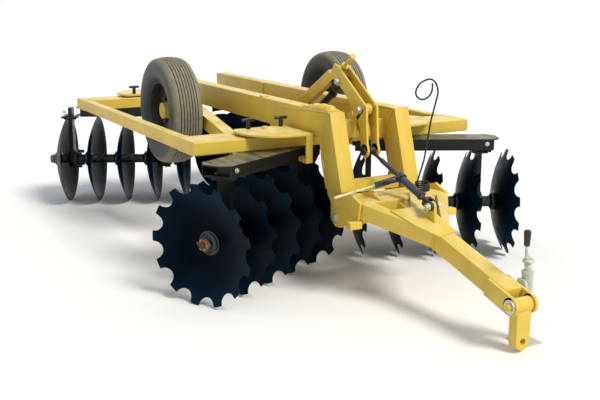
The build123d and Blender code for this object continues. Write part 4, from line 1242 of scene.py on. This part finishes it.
class HARROW_OT_tongue_details(Operator):
    """Welds, heel blocks, the hitch pin's washers and the jack's grip"""

    bl_idname = "harrow.tongue_details"
    bl_label = "Tongue details"

    def execute(self, context):
        beads = [side_bead(x, (-1184, 544), (-1390, 544)) for x in (-BOX_HALF, BOX_HALF)]
        beads.append(weld_bead((-49, -1766, 428), (56, -1742, 436)))
        for way in (-1, 1):
            beads.append(side_bead(way * 52, (-1712, 436), (-1712, 342)))
            beads.append(side_bead(way * 51, (-2140, 317), (-2249, 284)))
            beads.append(side_bead(way * 51, (-2140, 222), (-2249, 189)))
            beads.append(side_bead(way * 9, (-1640, 497), (-1560, 520)))
        add_piece("tongue_welds", beads, "tongue", "yellow_paint")
        heels = [slab(x0, x0 + 74, BOX_FRONT, -1352, 408, 446, 3.0) for x0 in (-350, 276)]
        add_drawn("heel_blocks", heels, "tongue", "yellow_paint")

        ring = turned([(-2, 18), (-2, 35), (4.5, 35), (6, 34), (6, 22), (4.5, 18)], 40, wrap_rows=True)
        rings = [placed(ring, (way * 67, *HITCH_PIN), (way, 0, 0)) for way in (-1, 1)]
        add_drawn("hitch_pin_washers", rings, "tongue", "zinc_steel")

        spot = drawn(JACK_X - CRANK_OFFSET, JACK_Y, 0)
        spot[2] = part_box("jack_crank")[1].z - GRIP_PROFILE[-2][0]
        grip = placed(turned(GRIP_PROFILE, 32), spot, (0, 0, 1), (0, 1, 0))
        add_piece("jack_grip", [grip], "tongue", "grip_rubber")
        return {"FINISHED"}


# Hose holder; its loop's corners are (x, z) of the drawing
HOLDER_FOOT = (105, -1395)
COIL_HEIGHT = 0.060
HOLDER_LOOP = (
    (112, 747), (148, 951), (182, 1067), (190, 1093), (188, 1120), (172, 1155), (144, 1174), (112, 1173),
    (72, 1157), (48, 1132), (40, 1104), (53, 1081), (82, 1066), (115, 1072), (141, 1091), (152, 1117),
    (150, 1152))


class HARROW_OT_hose_holder(Operator):
    """Spring-steel hose holder: a coil that runs up into a tall wire with a loop"""

    bl_idname = "harrow.hose_holder"
    bl_label = "Hose holder"

    def execute(self, context):
        wire = sizes().spring_wire
        radius = sizes().spring_radius
        behind = HOLDER_FOOT[1] + 40 - BOX_FRONT
        top = BOX_TOP + behind * math.tan(BRACE_SLOPE) + TOP_PLATE_THICKNESS / math.cos(BRACE_SLOPE)
        center = drawn(*HOLDER_FOOT, top) + (0, 0, wire)
        share = np.linspace(0, 1, 160)
        turn = share * sizes().spring_turns * 2 * np.pi
        coil = center + np.stack([radius * np.cos(turn), radius * np.sin(turn),
                                  (COIL_HEIGHT - 2 * wire) * share], axis=1)
        stem = [coil[-1]] + [drawn(x, HOLDER_FOOT[1], z) for x, z in HOLDER_LOOP]
        path = np.concatenate([coil[:-1], rounded(stem, 0.005)])
        add_piece("hose_spring", [swept(path, wire, 10, (0.31, 0.83, 0.46))], "tongue", "spring_steel",
                  replaces=["hose_holder"])
        return {"FINISHED"}


# The frame's own nodes
NODE_FINISH = {f"{side}_wheel_rim": "rim_paint" for side in SIDES}
for gang in [f"{side}_{end}" for end in ENDS for side in SIDES]:
    NODE_FINISH[f"{gang}_angle_plate"] = "angle_plate_paint"
    NODE_FINISH[f"{gang}_gang_arbor"] = "arbor_paint"


class HARROW_OT_frame(Operator):
    """Finishes and softened edges for the frame's own steel"""

    bl_idname = "harrow.frame"
    bl_label = "Frame finishes"

    def execute(self, context):
        slots = {entry["node"]: entry["material_slot"] for entry in frame["record"]["subparts"]}
        for name, node in frame["nodes"].items():
            node.data.materials.clear()
            node.data.materials.append(finish_for(NODE_FINISH.get(name, slots[name])))
            weld = node.modifiers.new("merge", "WELD")
            weld.merge_threshold = 0.00001
            soften = node.modifiers.new("edges", "BEVEL")
            soften.width = 0.0018
            soften.segments = 2
            soften.limit_method = "ANGLE"
            soften.angle_limit = math.radians(35)
            soften.harden_normals = True
        return {"FINISHED"}


# Stage
class HARROW_OT_stage(Operator):
    """Camera, pale floor and soft daylight"""

    bl_idname = "harrow.stage"
    bl_label = "Stage"

    def execute(self, context):
        stage = context.scene.harrow_stage
        self.camera(context, stage)
        self.floor(context)
        self.key_light(context, stage)
        self.sky(context, stage)
        context.scene.view_settings.view_transform = "Standard"
        return {"FINISHED"}

    def camera(self, context, stage):
        data = bpy.data.cameras.new("camera")
        data.lens = stage.lens
        data.sensor_width = 36
        data.shift_x, data.shift_y = stage.shift
        camera = bpy.data.objects.new("camera", data)
        turn = Matrix.Rotation(stage.camera_yaw, 4, "Z")
        tilt = Matrix.Rotation(math.radians(90) + stage.camera_pitch, 4, "X")
        roll = Matrix.Rotation(stage.camera_roll, 4, "Z")
        camera.matrix_world = Matrix.Translation(stage.camera_place) @ turn @ tilt @ roll
        context.scene.collection.objects.link(camera)
        context.scene.camera = camera

    def floor(self, context):
        """Flat square grid of five by five points at the ground."""
        reach, count = 60.0, 5
        across = np.linspace(-reach, reach, count)
        x, y = np.meshgrid(across, across, indexing="ij")
        points = np.stack([x, y, np.zeros_like(x)], axis=-1).reshape(-1, 3)
        mesh = bpy.data.meshes.new("floor")
        mesh.from_pydata(points.tolist(), [], grid_quads(count, count)[:, ::-1].tolist())
        floor = bpy.data.objects.new("floor", mesh)
        context.scene.collection.objects.link(floor)
        finish = Finish("floor")
        finish.set(Base_Color=(0.95, 0.95, 0.95, 1.0), Roughness=0.9, Specular_IOR_Level=0.0)
        mesh.materials.append(finish.material)

    def key_light(self, context, stage):
        sun = bpy.data.lights.new("key", "SUN")
        sun.energy = stage.sun_strength
        sun.angle = math.radians(20)
        sun.color = (1.0, 0.96, 0.88)
        key = bpy.data.objects.new("key", sun)
        key.rotation_mode = "QUATERNION"
        key.rotation_quaternion = Vector(stage.sun_direction).to_track_quat("Z", "Y")
        context.scene.collection.objects.link(key)

    def sky(self, context, stage):
        """Even light; the camera, reflections and refractions see white instead."""
        world = bpy.data.worlds.new("sky")
        world.use_nodes = True
        nodes, links = world.node_tree.nodes, world.node_tree.links
        nodes.clear()
        shades = []
        for tone, strength in (((0.92, 0.96, 1.0, 1.0), stage.sky_strength), ((1.0, 1.0, 1.0, 1.0), 1.0)):
            shade = nodes.new("ShaderNodeBackground")
            shade.inputs["Color"].default_value = tone
            shade.inputs["Strength"].default_value = strength
            shades.append(shade)
        ray = nodes.new("ShaderNodeLightPath")
        seen = ray.outputs["Is Camera Ray"]
        for kind in ("Is Glossy Ray", "Is Transmission Ray"):
            either = nodes.new("ShaderNodeMath")
            either.operation = "MAXIMUM"
            links.new(seen, either.inputs[0])
            links.new(ray.outputs[kind], either.inputs[1])
            seen = either.outputs[0]
        blend = nodes.new("ShaderNodeMixShader")
        links.new(seen, blend.inputs["Fac"])
        for shade, socket in zip(shades, (1, 2)):
            links.new(shade.outputs[0], blend.inputs[socket])
        output = nodes.new("ShaderNodeOutputWorld")
        links.new(blend.outputs[0], output.inputs["Surface"])
        context.scene.world = world


OPERATORS = [
    HARROW_OT_stage,
    HARROW_OT_frame,
    HARROW_OT_blades,
    HARROW_OT_gang_hardware,
    HARROW_OT_tyres,
    HARROW_OT_main_beams,
    HARROW_OT_tongue,
    HARROW_OT_linkage,
    HARROW_OT_parking_jack,
    HARROW_OT_frame_details,
    HARROW_OT_linkage_details,
    HARROW_OT_tongue_details,
    HARROW_OT_hose_holder,
]


class HARROW_PT_panel(Panel):
    """Lists the harrow's pieces"""

    bl_idname = "HARROW_PT_panel"
    bl_label = "Disc harrow"
    bl_space_type = "VIEW_3D"
    bl_region_type = "UI"
    bl_category = "Harrow"

    def draw(self, context):
        for operator in OPERATORS:
            self.layout.operator(operator.bl_idname)


CLASSES = [HarrowSizes, HarrowColours, HarrowStage, *OPERATORS, HARROW_PT_panel]


def register():
    for item in CLASSES:
        bpy.utils.register_class(item)
    bpy.types.Scene.harrow_sizes = PointerProperty(type=HarrowSizes)
    bpy.types.Scene.harrow_colours = PointerProperty(type=HarrowColours)
    bpy.types.Scene.harrow_stage = PointerProperty(type=HarrowStage)


def unregister():
    for name in ("harrow_sizes", "harrow_colours", "harrow_stage"):
        delattr(bpy.types.Scene, name)
    for item in reversed(CLASSES):
        bpy.utils.unregister_class(item)


def main():
    register()
    for operator in OPERATORS:
        group, name = operator.bl_idname.split(".")
        getattr(getattr(bpy.ops, group), name)()


if __name__ == "__main__":
    main()
